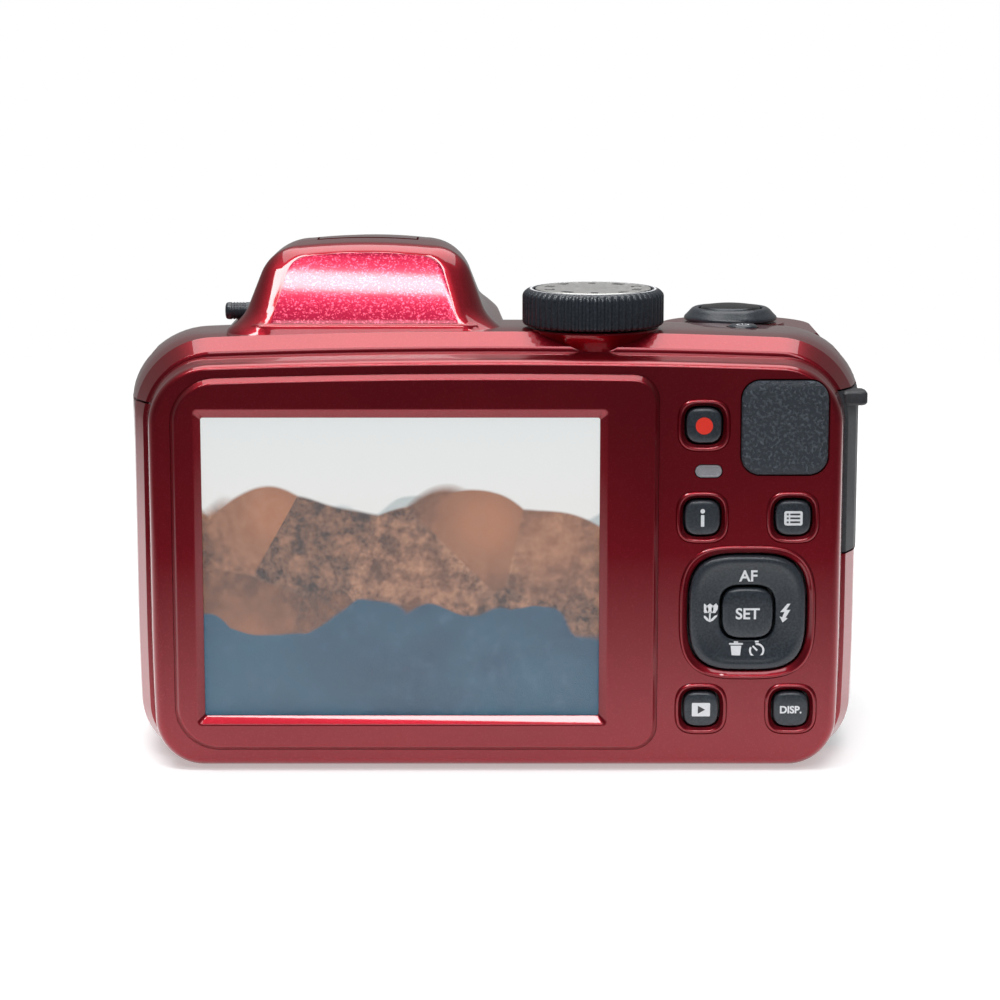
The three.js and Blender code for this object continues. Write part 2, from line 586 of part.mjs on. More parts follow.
// ---------------------------------------------------------------- top controls
function makeModeDial() {
  const outline = new THREE.Shape();
  for (let i = 0; i < 2 * DIAL.ribs; i += 1) {
    const radius = i % 2 === 0 ? DIAL.radius : DIAL.radius - 0.5;
    const angle = (Math.PI * i) / DIAL.ribs;
    const point = [DIAL.x + radius * Math.cos(angle), DIAL.y + radius * Math.sin(angle)];
    if (i === 0) outline.moveTo(...point);
    else outline.lineTo(...point);
  }
  const ribbed = prismZ(outline, [DIAL.bottom, DIAL.top - 0.9]);
  const { top } = DIAL;
  const cap = turnedZ(DIAL.x, DIAL.y, [
    [0, top - 1.2], [10.8, top - 1.2], [10.8, top - 0.6], [10.2, top], [9.6, top],
    [9.6, top - 0.5], [0, top - 0.5],
  ], 40);
  const stem = turnedZ(DIAL.x, DIAL.y, rod(3.9, 62, DIAL.bottom + 1), 20);
  piece('mode_dial', ribbed.add(cap).add(stem), 'black_plastic');
  const disc = turnedZ(DIAL.x, DIAL.y, rod(9.3, top - 0.2, top + 0.1), 40);
  piece('mode_dial_disc', disc, 'grey_plastic');
}

function makeShutterAndZoom() {
  const { x, y, platform } = SHUTTER;
  const base = platform + GAP;
  const ring = turnedZ(x, y, [
    [5.4, 62], [6.2, 62], [6.2, base], [7.9, base], [7.9, platform + 1.2], [6.7, platform + 2.4],
    [5.4, platform + 2.4], [5.4, 62],
  ], 24);
  const tab = box([x - 2.2, x + 2.2], [y + 6, y + 10.6], [base, platform + 1.5]);
  piece('zoom_lever', ring.add(tab), 'black_plastic');
  const top = platform + 3;
  const dome = turnedZ(x, y, [
    [0, 60], [1.6, 60], [1.6, platform - 1], [5.1, platform - 1], [5.1, top - 0.7],
    [4.2, top - 0.2], [0, top],
  ], 20);
  piece('shutter_button', dome, 'black_plastic');
  const power = turnedZ(POWER.x, POWER.y, [
    [0, POWER.foot], [POWER.radius, POWER.foot], [POWER.radius, POWER.top - 0.5],
    [1.8, POWER.top], [0, POWER.top],
  ], 20);
  const collar = turnedZ(POWER.x, POWER.y, rod(POWER.radius + 1, POWER.foot, POWER.foot + 1), 20);
  piece('power_button', power.add(collar), 'black_plastic');
}

// ---------------------------------------------------------------- lens
function makeLens() {
  const start = BODY_FRONT + GAP;
  const housing = [
    [30.4, start - 8], [30.4, start], [33.3, start], [33.3, start + 5], [31.4, start + 12],
    [30.9, FRONT - 13], [30.2, FRONT - 11.5], [27.7, FRONT - 11.5], [27.7, start - 8], [30.4, start - 8],
  ];
  piece('lens_housing', turnedY(LENS_X, LENS_Z, housing, 44), 'dark_metal');
  const camTube = turnedY(LENS_X, LENS_Z, tube(27.3, 26.3, LENS_REAR + 4, FRONT - 14), 36);
  const gearRim = turnedY(LENS_X, LENS_Z, tube(GEAR.rim, 26.3, LENS_REAR + 1, LENS_REAR + 4.4), 36);
  piece('zoom_cam_ring', camTube.add(gearRim), 'dark_metal');
  const outer = [
    [26, BARREL_BACK], [26, FRONT - 11], [27.3, FRONT - 11], [27.3, FRONT - 2.4], [26.6, FRONT - 1.6],
    [24.7, FRONT - 1.6], [24.7, BARREL_BACK], [26, BARREL_BACK],
  ];
  piece('lens_barrel_outer', turnedY(LENS_X, LENS_Z, outer, 40), 'black_plastic');
  const inner = [
    [24.4, BARREL_BACK + 2], [24.4, FRONT - 0.7], [23.7, FRONT], [22.4, FRONT], [20.8, FRONT - 3],
    [20.8, FRONT - 4.5], [23.1, FRONT - 4.5], [23.1, BARREL_BACK + 2], [24.4, BARREL_BACK + 2],
  ];
  piece('lens_barrel_inner', turnedY(LENS_X, LENS_Z, inner, 40), 'black_plastic');
  const dish = [
    [0, FRONT - 12], [22.7, FRONT - 9.5], [22.7, FRONT - 4.9], [20.4, FRONT - 4.9],
    [16, FRONT - 3.7], [9, FRONT - 2.9], [0, FRONT - 2.5],
  ];
  piece('front_lens_element', turnedY(LENS_X, LENS_Z, dish, 32), 'coated_glass');
  const zoomGroup = [
    [0, BARREL_BACK + 8], [17, BARREL_BACK + 6], [17, BARREL_BACK + 13], [0, BARREL_BACK + 15],
  ];
  piece('zoom_lens_group', turnedY(LENS_X, LENS_Z, zoomGroup, 24), 'coated_glass');
  const shutter = turnedY(LENS_X, LENS_Z, tube(24.4, 9, BARREL_BACK - 3, BARREL_BACK + 1.4), 28);
  piece('aperture_shutter_unit', shutter, 'black_plastic');
  const focus = [[0, LENS_REAR + 4], [10, LENS_REAR + 5], [10, LENS_REAR + 8], [0, LENS_REAR + 9.5]];
  piece('focus_lens_group', turnedY(LENS_X, LENS_Z, focus, 24), 'coated_glass');
  const base = turnedY(LENS_X, LENS_Z, rod(29.8, LENS_REAR - 2, LENS_REAR + 0.6), 36)
    .subtract(box([LENS_X - 6, LENS_X + 6], [REAR, FRONT], [LENS_Z - 5, LENS_Z + 5]));
  piece('lens_base_plate', base, 'dark_metal');
  const sensorY = [LENS_REAR - 2 - GAP - 1.4, LENS_REAR - 2 - GAP];
  const sensor = box([LENS_X - 5.5, LENS_X + 5.5], sensorY, [LENS_Z - 4.5, LENS_Z + 4.5]);
  piece('image_sensor', sensor, 'coated_glass');
}

// The motor sits beside the lens; its pinion faces the toothed rim of the cam ring.
function makeZoomDrive() {
  const reach = GEAR.rim + GEAR.pinion + GAP;
  const x = LENS_X + reach * Math.cos(GEAR.angle);
  const z = LENS_Z + reach * Math.sin(GEAR.angle);
  piece('zoom_motor', turnedY(x, z, rod(3.7, LENS_REAR - 13, LENS_REAR + 0.2), 20), 'steel');
  const pinion = [
    [0, LENS_REAR + 0.6], [1, LENS_REAR + 0.6], [1, LENS_REAR + 1], [GEAR.pinion, LENS_REAR + 1],
    [GEAR.pinion, LENS_REAR + 4.4], [0, LENS_REAR + 4.4],
  ];
  piece('zoom_pinion', turnedY(x, z, pinion, 20), 'gold_metal');
}

// ---------------------------------------------------------------- power, card, boards
function sleeve(x, y, z, wall) {
  const outer = box(widened(x, GAP + wall), widened(y, GAP + wall), [z[0] + 1, z[1] + GAP + wall]);
  return outer.subtract(box(widened(x, GAP), widened(y, GAP), [z[0] - 2, z[1] + GAP]));
}

function makePower() {
  piece('battery_pack', box(BATTERY.x, BATTERY.y, BATTERY.z), 'grey_plastic');
  piece('battery_holder', sleeve(BATTERY.x, BATTERY.y, BATTERY.z, 1.2), 'black_plastic');
  const card = new THREE.Shape();
  card.moveTo(CARD.y[0], CARD.z[0]);
  card.lineTo(CARD.y[1], CARD.z[0]);
  card.lineTo(CARD.y[1], CARD.z[1] - 4);
  card.lineTo(CARD.y[1] - 4, CARD.z[1]);
  card.lineTo(CARD.y[0], CARD.z[1]);
  const geometry = new THREE.ExtrudeGeometry(card, { depth: CARD.x[1] - CARD.x[0], bevelEnabled: false });
  geometry.rotateX(Math.PI / 2);
  geometry.rotateZ(Math.PI / 2);
  geometry.translate(CARD.x[0], 0, 0);
  piece('memory_card', solid(geometry), 'black_plastic');
  piece('memory_card_slot', sleeve(CARD.x, CARD.y, [CARD.z[0] + 2, CARD.z[1]], 0.6), 'steel');
  piece('main_board', box([-50, 19], [REAR + 8.8, REAR + 9.8], [7, 63]), 'green_board');
  const capacitor = turnedZ(20.5, BODY_FRONT - 9.5, rod(5.2, 18, 52), 24);
  piece('flash_capacitor', capacitor, 'black_plastic');
}

function makeUsbSocket() {
  const x = [PORT_BAY.x[0] - 5, PORT_BAY.x[0] - 0.8];
  const y = widened(PORT.y, -2.2);
  const mouth = box([x[0] + 1, FAR], y, [42.7, 45.9]);
  piece('usb_socket', box(x, widened(y, 0.7), [42, 46.6]).subtract(mouth), 'steel');
}

// The flap is flush with the casing; the lug at its top is what a finger pulls.
function makePortCover() {
  const flap = OUTER.intersect(box([PORT_BAY.x[0] + GAP, FAR], PORT.y, PORT.z)).subtract(casingForm(PORT.thickness));
  piece('port_cover', flap.add(box(PORT_LUG.x, PORT_LUG.y, PORT_LUG.z)), 'black_rubber');
}

// ---------------------------------------------------------------- base
function makeBase() {
  const { radius, neck, bore, height } = TRIPOD;
  const bush = [
    [bore, 0.1], [radius, 0.1], [radius, 3], [neck, 3], [neck, height], [0, height], [0, height - 0.8],
    [bore, height - 0.8], [bore, 0.1],
  ];
  piece('tripod_bush', turnedZ(TRIPOD.x, TRIPOD.y, bush, 32), 'gold_metal');
  SCREWS.forEach(([x, y], i) => {
    piece(`case_screw_${i + 1}`, turnedZ(x, y, rod(1.55, 0.3, 0.9), 12), 'steel');
  });
}

function makeBatteryDoor() {
  const tongueX = [DOOR.hinge.x, DOOR.hinge.x + 9];
  const tongueY = widened(DOOR.y, -2);
  const groove = box([0, tongueX[1] + GAP], widened(tongueY, GAP), [1.6, DOOR.top + 1]);
  const plate = OUTER.intersect(box([DOOR.hinge.x + 3, FAR], DOOR.y, [0.25, DOOR.top]))
    .subtract(casingForm(1.3))
    .subtract(groove);
  piece('battery_door', plate, 'black_plastic');
  const knuckle = turnedY(DOOR.hinge.x, DOOR.hinge.z, rod(1.1, DOOR.y[0], DOOR.y[1]), 12);
  const tongue = box(tongueX, tongueY, [1.9, 2.7]);
  piece('battery_door_hinge', knuckle.add(tongue), 'steel');
}

makeRearCover();
makeScreen();
makeKeys();
makeRearTrim();
makeFrontCasing();
makeSidePanels();
makeGripCover();
makeTopCover();
makeStrapBars();
makeHumpPanel();
makeFlash();
makeModeDial();
makeShutterAndZoom();
makeLens();
makeZoomDrive();
makePower();
makeUsbSocket();
makePortCover();
makeBase();
makeBatteryDoor();

export default camera;
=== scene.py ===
import math

import bmesh
import bpy
from mathutils import Matrix, Vector


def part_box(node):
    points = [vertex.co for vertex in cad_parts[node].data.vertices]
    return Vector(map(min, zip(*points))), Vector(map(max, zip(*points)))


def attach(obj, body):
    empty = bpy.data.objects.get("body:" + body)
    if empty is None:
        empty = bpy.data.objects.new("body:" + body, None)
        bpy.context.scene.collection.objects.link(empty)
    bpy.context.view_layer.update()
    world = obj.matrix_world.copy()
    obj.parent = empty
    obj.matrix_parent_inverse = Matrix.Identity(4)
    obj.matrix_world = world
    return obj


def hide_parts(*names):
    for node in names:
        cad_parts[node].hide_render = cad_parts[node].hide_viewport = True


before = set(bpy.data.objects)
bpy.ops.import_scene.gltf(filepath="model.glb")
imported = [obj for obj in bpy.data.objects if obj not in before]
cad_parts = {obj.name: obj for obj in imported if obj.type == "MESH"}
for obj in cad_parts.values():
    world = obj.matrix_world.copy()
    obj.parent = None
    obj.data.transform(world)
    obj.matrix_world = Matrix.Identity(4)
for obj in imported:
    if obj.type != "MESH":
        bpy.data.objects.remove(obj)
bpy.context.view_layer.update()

# Everything below is worked out in millimetres and scaled once, when a mesh is made.
MM = 0.001


def span(node):
    """Lowest and highest corner of a CAD node in millimetres."""
    low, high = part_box(node)
    return low / MM, high / MM


def middle(node):
    low, high = span(node)
    return (low + high) / 2


# ---------------------------------------------------------------- sizes taken from the frame
REAR = span("screen_frame")[0].y
FRONT = span("lens_barrel_inner")[1].y
HEIGHT = span("flash_head")[1].z
HALF_WIDTH = -span("side_panel_left")[0].x
COVER_LOW, COVER_HIGH = span("rear_cover")
PART_LINE = COVER_HIGH.y
REAR_FACE = COVER_LOW.y
GAP = 0.3
CASING_START = PART_LINE + GAP
CHAMFER_END = CASING_START + 3.5
BODY_FRONT = span("lens_housing")[0].y + 7.7
DECK = 70.2
TOP_SEAM = span("front_casing")[1].z + 0.15
LENS = middle("lens_housing")
DIAL = middle("mode_dial")
SHUTTER = middle("shutter_button")
POWER = middle("power_button")
KEYS = ["record_button", "info_button", "menu_button", "playback_button", "display_button"]
PAD = middle("four_way_pad")
QUARTER = math.pi / 2
# Places beyond every piece, sideways and above.
FAR = 90
ABOVE = 95
EVERY = (-FAR, FAR)
HIGH = (TOP_SEAM + GAP / 2, ABOVE)


# ---------------------------------------------------------------- materials
def shader(name, colour, roughness=0.4, metallic=0.0):
    """A new material with a Principled shader, and the helpers' view of its nodes."""
    material = bpy.data.materials.new(name)
    material.use_nodes = True
    tree = material.node_tree
    principled = tree.nodes["Principled BSDF"]
    principled.inputs["Base Color"].default_value = (*colour, 1)
    principled.inputs["Roughness"].default_value = roughness
    principled.inputs["Metallic"].default_value = metallic
    return material, tree, principled


def node(tree, kind, inputs=None, **settings):
    made = tree.nodes.new(kind)
    for key, value in settings.items():
        setattr(made, key, value)
    for key, value in (inputs or {}).items():
        made.inputs[key].default_value = value
    return made


def object_coordinates(tree):
    return node(tree, "ShaderNodeTexCoord").outputs["Object"]


def noise(tree, scale, detail=2.0, roughness=0.5):
    made = node(tree, "ShaderNodeTexNoise", {"Scale": scale, "Detail": detail, "Roughness": roughness})
    tree.links.new(object_coordinates(tree), made.inputs["Vector"])
    return made.outputs["Fac"]


def cells(tree, scale):
    made = node(tree, "ShaderNodeTexVoronoi", {"Scale": scale})
    tree.links.new(object_coordinates(tree), made.inputs["Vector"])
    return made.outputs["Color"]


def mapped(tree, value, low, high, out_low, out_high):
    inputs = {"From Min": low, "From Max": high, "To Min": out_low, "To Max": out_high}
    made = node(tree, "ShaderNodeMapRange", inputs)
    tree.links.new(value, made.inputs["Value"])
    return made.outputs["Result"]


def mixed(tree, factor, first, second):
    made = node(tree, "ShaderNodeMix", data_type="RGBA")
    made.inputs["A"].default_value = (*first, 1)
    made.inputs["B"].default_value = (*second, 1)
    tree.links.new(factor, made.inputs["Factor"])
    return made.outputs["Result"]


def bumped(tree, height, strength, distance):
    made = node(tree, "ShaderNodeBump", {"Strength": strength, "Distance": distance})
    tree.links.new(height, made.inputs["Height"])
    return made.outputs["Normal"]


def paint_material(name, dark, light, flake_scale, flake_light, roughness, flake_tilt, coat_roughness=0.04):
    """Metallic paint: fine flakes that differ in tint and tilt, under a clear gloss coat."""
    material, tree, principled = shader(name, dark, roughness, 0.85)
    random = cells(tree, flake_scale)
    split = node(tree, "ShaderNodeSeparateColor")
    tree.links.new(random, split.inputs["Color"])
    lit = mapped(tree, split.outputs["Red"], 1 - flake_light, 1.0, 0.0, 1.0)
    tree.links.new(mixed(tree, lit, dark, light), principled.inputs["Base Color"])
    tree.links.new(bumped(tree, split.outputs["Green"], flake_tilt, 0.00004), principled.inputs["Normal"])
    cloud = noise(tree, 35, 2)
    uneven = mapped(tree, cloud, 0.3, 0.7, roughness - 0.03, roughness + 0.03)
    tree.links.new(uneven, principled.inputs["Roughness"])
    principled.inputs["Coat Weight"].default_value = 1.0
    principled.inputs["Coat Roughness"].default_value = coat_roughness
    principled.inputs["Coat IOR"].default_value = 1.5
    return material


def plastic_material(name, colour, lighter, roughness, grain_scale, grain_depth):
    """Moulded plastic with an eroded texture and a slight unevenness of shine."""
    material, tree, principled = shader(name, colour, roughness)
    grain = noise(tree, grain_scale, 3)
    tint = mixed(tree, mapped(tree, grain, 0.35, 0.7, 0, 1), colour, lighter)
    tree.links.new(tint, principled.inputs["Base Color"])
    tree.links.new(bumped(tree, grain, 0.6, grain_depth), principled.inputs["Normal"])
    shine = noise(tree, 60, 2)
    uneven = mapped(tree, shine, 0.3, 0.7, roughness - 0.06, roughness + 0.06)
    tree.links.new(uneven, principled.inputs["Roughness"])
    return material


def rubber_material(name, colour, lighter, grain_scale, depth):
    """Rubber with an irregular leathery grain; its raised tops are painted in the lighter colour as a painted
    highlight, and are a little shinier.
    """
    material, tree, principled = shader(name, colour, 0.5)
    grain = noise(tree, grain_scale, 2, 0.55)
    grain_tops_painted_lighter = mapped(tree, grain, 0.48, 0.68, 0, 1)
    # The lighter colour mixed onto the grain tops is a painted highlight.
    tree.links.new(mixed(tree, grain_tops_painted_lighter, colour, lighter), principled.inputs["Base Color"])
    tree.links.new(bumped(tree, grain_tops_painted_lighter, 1.0, depth), principled.inputs["Normal"])
    tree.links.new(mapped(tree, grain_tops_painted_lighter, 0, 1, 0.6, 0.42), principled.inputs["Roughness"])
    return material


def metal_material(name, colour, roughness, brush_scale=900):
    material, tree, principled = shader(name, colour, roughness, 1.0)
    scratch = noise(tree, brush_scale, 3, 0.6)
    uneven = mapped(tree, scratch, 0.3, 0.7, roughness * 0.75, roughness * 1.25)
    tree.links.new(uneven, principled.inputs["Roughness"])
    tree.links.new(bumped(tree, scratch, 0.15, 0.00002), principled.inputs["Normal"])
    return material


def glass_material(name, tint, alpha, roughness=0.03):
    material, tree, principled = shader(name, tint, roughness)
    principled.inputs["Alpha"].default_value = alpha
    principled.inputs["Coat Weight"].default_value = 0.25
    smear = noise(tree, 25, 2)
    tree.links.new(mapped(tree, smear, 0.3, 0.7, roughness, roughness + 0.03), principled.inputs["Roughness"])
    return material


def lens_glass_material(name):
    """Dark coated glass whose reflection shifts from violet to green towards the rim."""
    material, tree, principled = shader(name, (0.004, 0.004, 0.008), 0.02)
    facing = node(tree, "ShaderNodeLayerWeight", {"Blend": 0.35})
    tint = mixed(tree, facing.outputs["Facing"], (0.02, 0.01, 0.05), (0.02, 0.09, 0.06))
    tree.links.new(tint, principled.inputs["Base Color"])
    principled.inputs["Coat Weight"].default_value = 1.0
    principled.inputs["Coat Roughness"].default_value = 0.01
    principled.inputs["Specular IOR Level"].default_value = 0.9
    return material


def print_material(name, colour):
    """Screen-printed ink, faintly uneven."""
    material, tree, principled = shader(name, colour, 0.45)
    speck = noise(tree, 2500, 2)
    darker = tuple(c * 0.85 for c in colour)
    tree.links.new(mixed(tree, speck, darker, colour), principled.inputs["Base Color"])
    return material


RED = (0.255, 0.0025, 0.011)
# Each row: the function that makes the material, then its values.
RECIPES = {
    "red_paint": (paint_material, RED, (0.30, 0.010, 0.022), 6500, 0.20, 0.36, 0.12),
    "flake_paint": (paint_material, (0.30, 0.002, 0.028), (0.85, 0.10, 0.18), 4800, 0.30, 0.30, 0.4, 0.10),
    "black_plastic": (plastic_material, (0.024, 0.029, 0.036), (0.042, 0.051, 0.062), 0.27, 3000, 0.00003),
    # black_rubber's second colour is the painted highlight on the grain tops.
    "black_rubber": (rubber_material, (0.026, 0.034, 0.045), (0.085, 0.105, 0.130), 1900, 0.00025),
    "smooth_rubber": (plastic_material, (0.030, 0.032, 0.036), (0.048, 0.051, 0.056), 0.5, 2500, 0.00002),
    "lens_black": (plastic_material, (0.012, 0.012, 0.014), (0.022, 0.022, 0.025), 0.34, 2500, 0.00002),
    "steel": (metal_material, (0.62, 0.63, 0.65), 0.3),
    "dial_silver": (metal_material, (0.72, 0.72, 0.70), 0.38, 1400),
    "dark_metal": (metal_material, (0.06, 0.065, 0.07), 0.32, 1500),
    "brass": (metal_material, (0.72, 0.50, 0.20), 0.3),
    "clear_glass": (glass_material, (0.95, 0.97, 1.0), 0.06),
    "flash_glass": (glass_material, (0.9, 0.92, 0.95), 0.35, 0.12),
    "lens_glass": (lens_glass_material,),
    "green_board": (plastic_material, (0.02, 0.12, 0.05), (0.03, 0.16, 0.07), 0.45, 800, 0.00002),
    "grey_plastic": (plastic_material, (0.27, 0.265, 0.28), (0.34, 0.33, 0.35), 0.4, 2000, 0.00002),
    "white_print": (print_material, (0.85, 0.86, 0.88)),
    "red_print": (print_material, (0.95, 0.04, 0.02)),
    "dark_print": (print_material, (0.05, 0.05, 0.055)),
}
MATERIALS = {name: make(name, *values) for name, (make, *values) in RECIPES.items()}


# ---------------------------------------------------------------- mesh helpers
def new_piece(name, points, faces):
    mesh = bpy.data.meshes.new(name)
    mesh.from_pydata([tuple(c * MM for c in point) for point in points], [], faces)
    mesh.validate()
    mesh.update()
    made = bpy.data.objects.new(name, mesh)
    bpy.context.scene.collection.objects.link(made)
    return made


def outward(piece):
    work = bmesh.new()
    work.from_mesh(piece.data)
    bmesh.ops.remove_doubles(work, verts=work.verts, dist=1e-7)
    bmesh.ops.recalc_face_normals(work, faces=work.faces)
    work.to_mesh(piece.data)
    work.free()
    return piece


def loft(name, rings):
    """A closed skin through rings of equal point counts, capped at both ends."""
    count = len(rings[0])
    points = [point for ring in rings for point in ring]
    faces = []
    for r in range(len(rings) - 1):
        for i in range(count):
            n = (i + 1) % count
            faces.append((r * count + i, r * count + n, (r + 1) * count + n, (r + 1) * count + i))
    faces.append(tuple(reversed(range(count))))
    last = (len(rings) - 1) * count
    faces.append(tuple(last + i for i in range(count)))
    return outward(new_piece(name, points, faces))


def turned(name, profile, centre, axis="Y", segments=96, wave=None):
    """A turned solid about a line through centre. The profile's points are (radius, place along the axis)."""
    points = []
    for k in range(segments):
        angle = 2 * math.pi * k / segments
        for radius, along in profile:
            r = radius if wave is None else wave(angle, radius, along)
            a, b = r * math.cos(angle), r * math.sin(angle)
            if axis == "Y":
                points.append((centre[0] + a, along, centre[2] + b))
            elif axis == "Z":
                points.append((centre[0] + a, centre[1] + b, along))
            else:
                points.append((along, centre[1] + a, centre[2] + b))
    steps = len(profile)
    closed = profile[0] == profile[-1]
    faces = []
    for k in range(segments):
        n = (k + 1) % segments
        for i in range(steps - 1):
            faces.append((k * steps + i, n * steps + i, n * steps + i + 1, k * steps + i + 1))
    if not closed:
        for end in (0, steps - 1):
            if profile[end][0] > 1e-6:
                faces.append(tuple(k * steps + end for k in range(segments)))
    return outward(new_piece(name, points, faces))


def block(name, x, y, z):
    rings = [[(x[0], v, z[0]), (x[1], v, z[0]), (x[1], v, z[1]), (x[0], v, z[1])] for v in y]
    return loft(name, rings)


def arc(cx, cy, rx, ry, a, b, steps):
    return [
        (cx + rx * math.cos(a + (b - a) * i / steps), cy + ry * math.sin(a + (b - a) * i / steps))
        for i in range(steps + 1)
    ]


def rounded(left, right, bottom, top, corner, left_corner=None, steps=10):
    """Outline of a rectangle with round corners, as (x, z) points."""
    lc = corner if left_corner is None else left_corner
    return [
        *arc(right - corner, bottom + corner, corner, corner, -QUARTER, 0, steps),
        *arc(right - corner, top - corner, corner, corner, 0, QUARTER, steps),
        *arc(left + lc, top - lc, lc, lc, QUARTER, 2 * QUARTER, steps),
        *arc(left + lc, bottom + lc, lc, lc, 2 * QUARTER, 3 * QUARTER, steps),
    ]


def squircle(x, z, half, power=3.2, count=72):
    """Outline between a circle and a square, as (x, z) points."""
    points = []
    for i in range(count):
        angle = 2 * math.pi * i / count
        c, s = math.cos(angle), math.sin(angle)
        points.append((
            x + half * math.copysign(abs(c) ** (2 / power), c),
            z + half * math.copysign(abs(s) ** (2 / power), s),
        ))
    return points


def at_depth(outline, y):
    return [(x, y, z) for x, z in outline]


def prism(name, outline, y):
    return loft(name, [at_depth(outline, v) for v in y])


def evaluated(piece):
    graph = bpy.context.evaluated_depsgraph_get()
    return bpy.data.meshes.new_from_object(piece.evaluated_get(graph))


def remove(piece):
    bpy.data.objects.remove(piece, do_unlink=True)


def boolean(piece, other, operation="DIFFERENCE", keep=False):
    change = piece.modifiers.new("boolean", "BOOLEAN")
    change.operation = operation
    change.solver = "EXACT"
    change.object = other
    mesh = evaluated(piece)
    piece.modifiers.clear()
    old = piece.data
    piece.data = mesh
    bpy.data.meshes.remove(old)
    if not keep:
        remove(other)
    return piece


def cut(piece, *others):
    for other in others:
        boolean(piece, other)
    return piece


def join(piece, *others):
    for other in others:
        boolean(piece, other, "UNION")
    return piece


def within(piece, other):
    return boolean(piece, other, "INTERSECT")


def copy(piece, name):
    made = bpy.data.objects.new(name, piece.data.copy())
    bpy.context.scene.collection.objects.link(made)
    return made


def smooth(piece, angle=38):
    """Smooth shading, with a hard edge wherever faces meet at more than the angle."""
    for polygon in piece.data.polygons:
        polygon.use_smooth = True
    piece.data.set_sharp_from_angle(angle=math.radians(angle))
    weigh = piece.modifiers.new("normals", "WEIGHTED_NORMAL")
    weigh.keep_sharp = True
    return piece


def finish_piece(piece, material, body="root", replaces=()):
    piece.data.materials.clear()
    piece.data.materials.append(MATERIALS[material])
    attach(piece, body)
    if replaces:
        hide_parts(*replaces)
    return piece


def text_piece(name, words, size, x, z, y, body, material="white_print"):
    """Flat printed words that face the user, as a thin mesh."""
    curve = bpy.data.curves.new(name, "FONT")
    curve.body = words
    curve.size = size * MM
    curve.align_x = "CENTER"
    curve.align_y = "CENTER"
    curve.extrude = 0.015 * MM
    curve.offset = 0.055 * MM
    holder = bpy.data.objects.new(name + "_words", curve)
    bpy.context.scene.collection.objects.link(holder)
    mesh = evaluated(holder)
    remove(holder)
    mesh.transform(Matrix.Rotation(QUARTER, 4, "X"))
    middle_x = (min(v.co.x for v in mesh.vertices) + max(v.co.x for v in mesh.vertices)) / 2
    middle_z = (min(v.co.z for v in mesh.vertices) + max(v.co.z for v in mesh.vertices)) / 2
    mesh.transform(Matrix.Translation((x * MM - middle_x, y * MM, z * MM - middle_z)))
    made = bpy.data.objects.new(name, mesh)
    bpy.context.scene.collection.objects.link(made)
    return finish_piece(made, material, body)


def flat_piece(name, outlines, y, body, material="white_print", thickness=0.03):
    """Printed shapes that face the user: each outline is a closed list of (x, z) points."""
    points, faces = [], []
    for outline in outlines:
        start = len(points)
        count = len(outline)
        points += at_depth(outline, y)
        points += at_depth(outline, y + thickness)
        faces.append(tuple(start + i for i in range(count)))
        faces.append(tuple(start + count + i for i in reversed(range(count))))
        for i in range(count):
            n = (i + 1) % count
            faces.append((start + i, start + count + i, start + count + n, start + n))
    made = outward(new_piece(name, points, faces))
    return finish_piece(made, material, body)


# ---------------------------------------------------------------- outer form
CROWN = 1.6
LEAN_BELOW = 25
LEAN = 0.012


def body_section(y, half, bottom, top, top_radius, bottom_radius, inset=0.0):
    h, low, high = half - inset, bottom + inset, top - inset
    rt, rb = top_radius - inset, bottom_radius - inset
    deck = [((h - rt) * (1 - 2 * i / 24), high) for i in range(1, 24)]
    side = [low + rb + (high - rt - low - rb) * i / 10 for i in range(1, 10)]
    base = [(-(h - rb) * (1 - 2 * i / 12), low) for i in range(1, 12)]
    outline = [
        *arc(h - rb, low + rb, rb, rb, -QUARTER, 0, 14),
        *[(h, z) for z in side],
        *arc(h - rt, high - rt, rt, rt, 0, QUARTER, 16),
        *deck,
        *arc(-h + rt, high - rt, rt, rt, QUARTER, 2 * QUARTER, 16),
        *[(-h, z) for z in reversed(side)],
        *arc(-h + rb, low + rb, rb, rb, 2 * QUARTER, 3 * QUARTER, 14),
        *base,
    ]
    ring = []
    for x, z in outline:
        lean = 1 - LEAN * ((LEAN_BELOW - z) / LEAN_BELOW) ** 2 if z < LEAN_BELOW else 1
        crown = 1 - CROWN * (x / HALF_WIDTH) ** 2 * z / DECK ** 2
        ring.append((x * lean, y, z * crown))
    return ring


# Each row: y, half width, bottom, top, radius at the top, radius at the bottom.
CASING_SECTIONS = [
    (CASING_START, 56.0, 0.9, 67.3, 11, 8),
    (CHAMFER_END, 57.8, 0, 69.5, 12.5, 9),
    (REAR + 16, 58.6, 0, 69.7, 11.8, 9.5),
    (REAR + 23, HALF_WIDTH, 0, 69.5, 11.2, 10),
    (REAR + 32, HALF_WIDTH - 0.2, 0, 69.0, 11.2, 10),
    (BODY_FRONT - 2.6, 57.6, 0.5, 67.9, 11.5, 10),
    (BODY_FRONT, 55, 2.6, 65.6, 11, 8.5),
]


def smooth_sections(sections, steps=6):
    """More sections between the listed ones, on a curve that bulges as a moulded side does."""
    made = [sections[0], sections[1]]
    tail = sections[1:]
    for i in range(len(tail) - 1):
        before = tail[max(i - 1, 0)]
        first, second = tail[i], tail[i + 1]
        after = tail[min(i + 2, len(tail) - 1)]
        for k in range(1, steps + 1):
            t = k / steps
            values = []
            for a, b, c, d in zip(before, first, second, after):
                slope_b, slope_c = (c - a) / 2, (d - b) / 2
                h1, h2 = 2 * t ** 3 - 3 * t ** 2 + 1, -2 * t ** 3 + 3 * t ** 2
                h3, h4 = t ** 3 - 2 * t ** 2 + t, t ** 3 - t ** 2
                values.append(b * h1 + c * h2 + slope_b * h3 + slope_c * h4)
            made.append(tuple(values))
    return made


GRIP_BACK = BODY_FRONT - 8
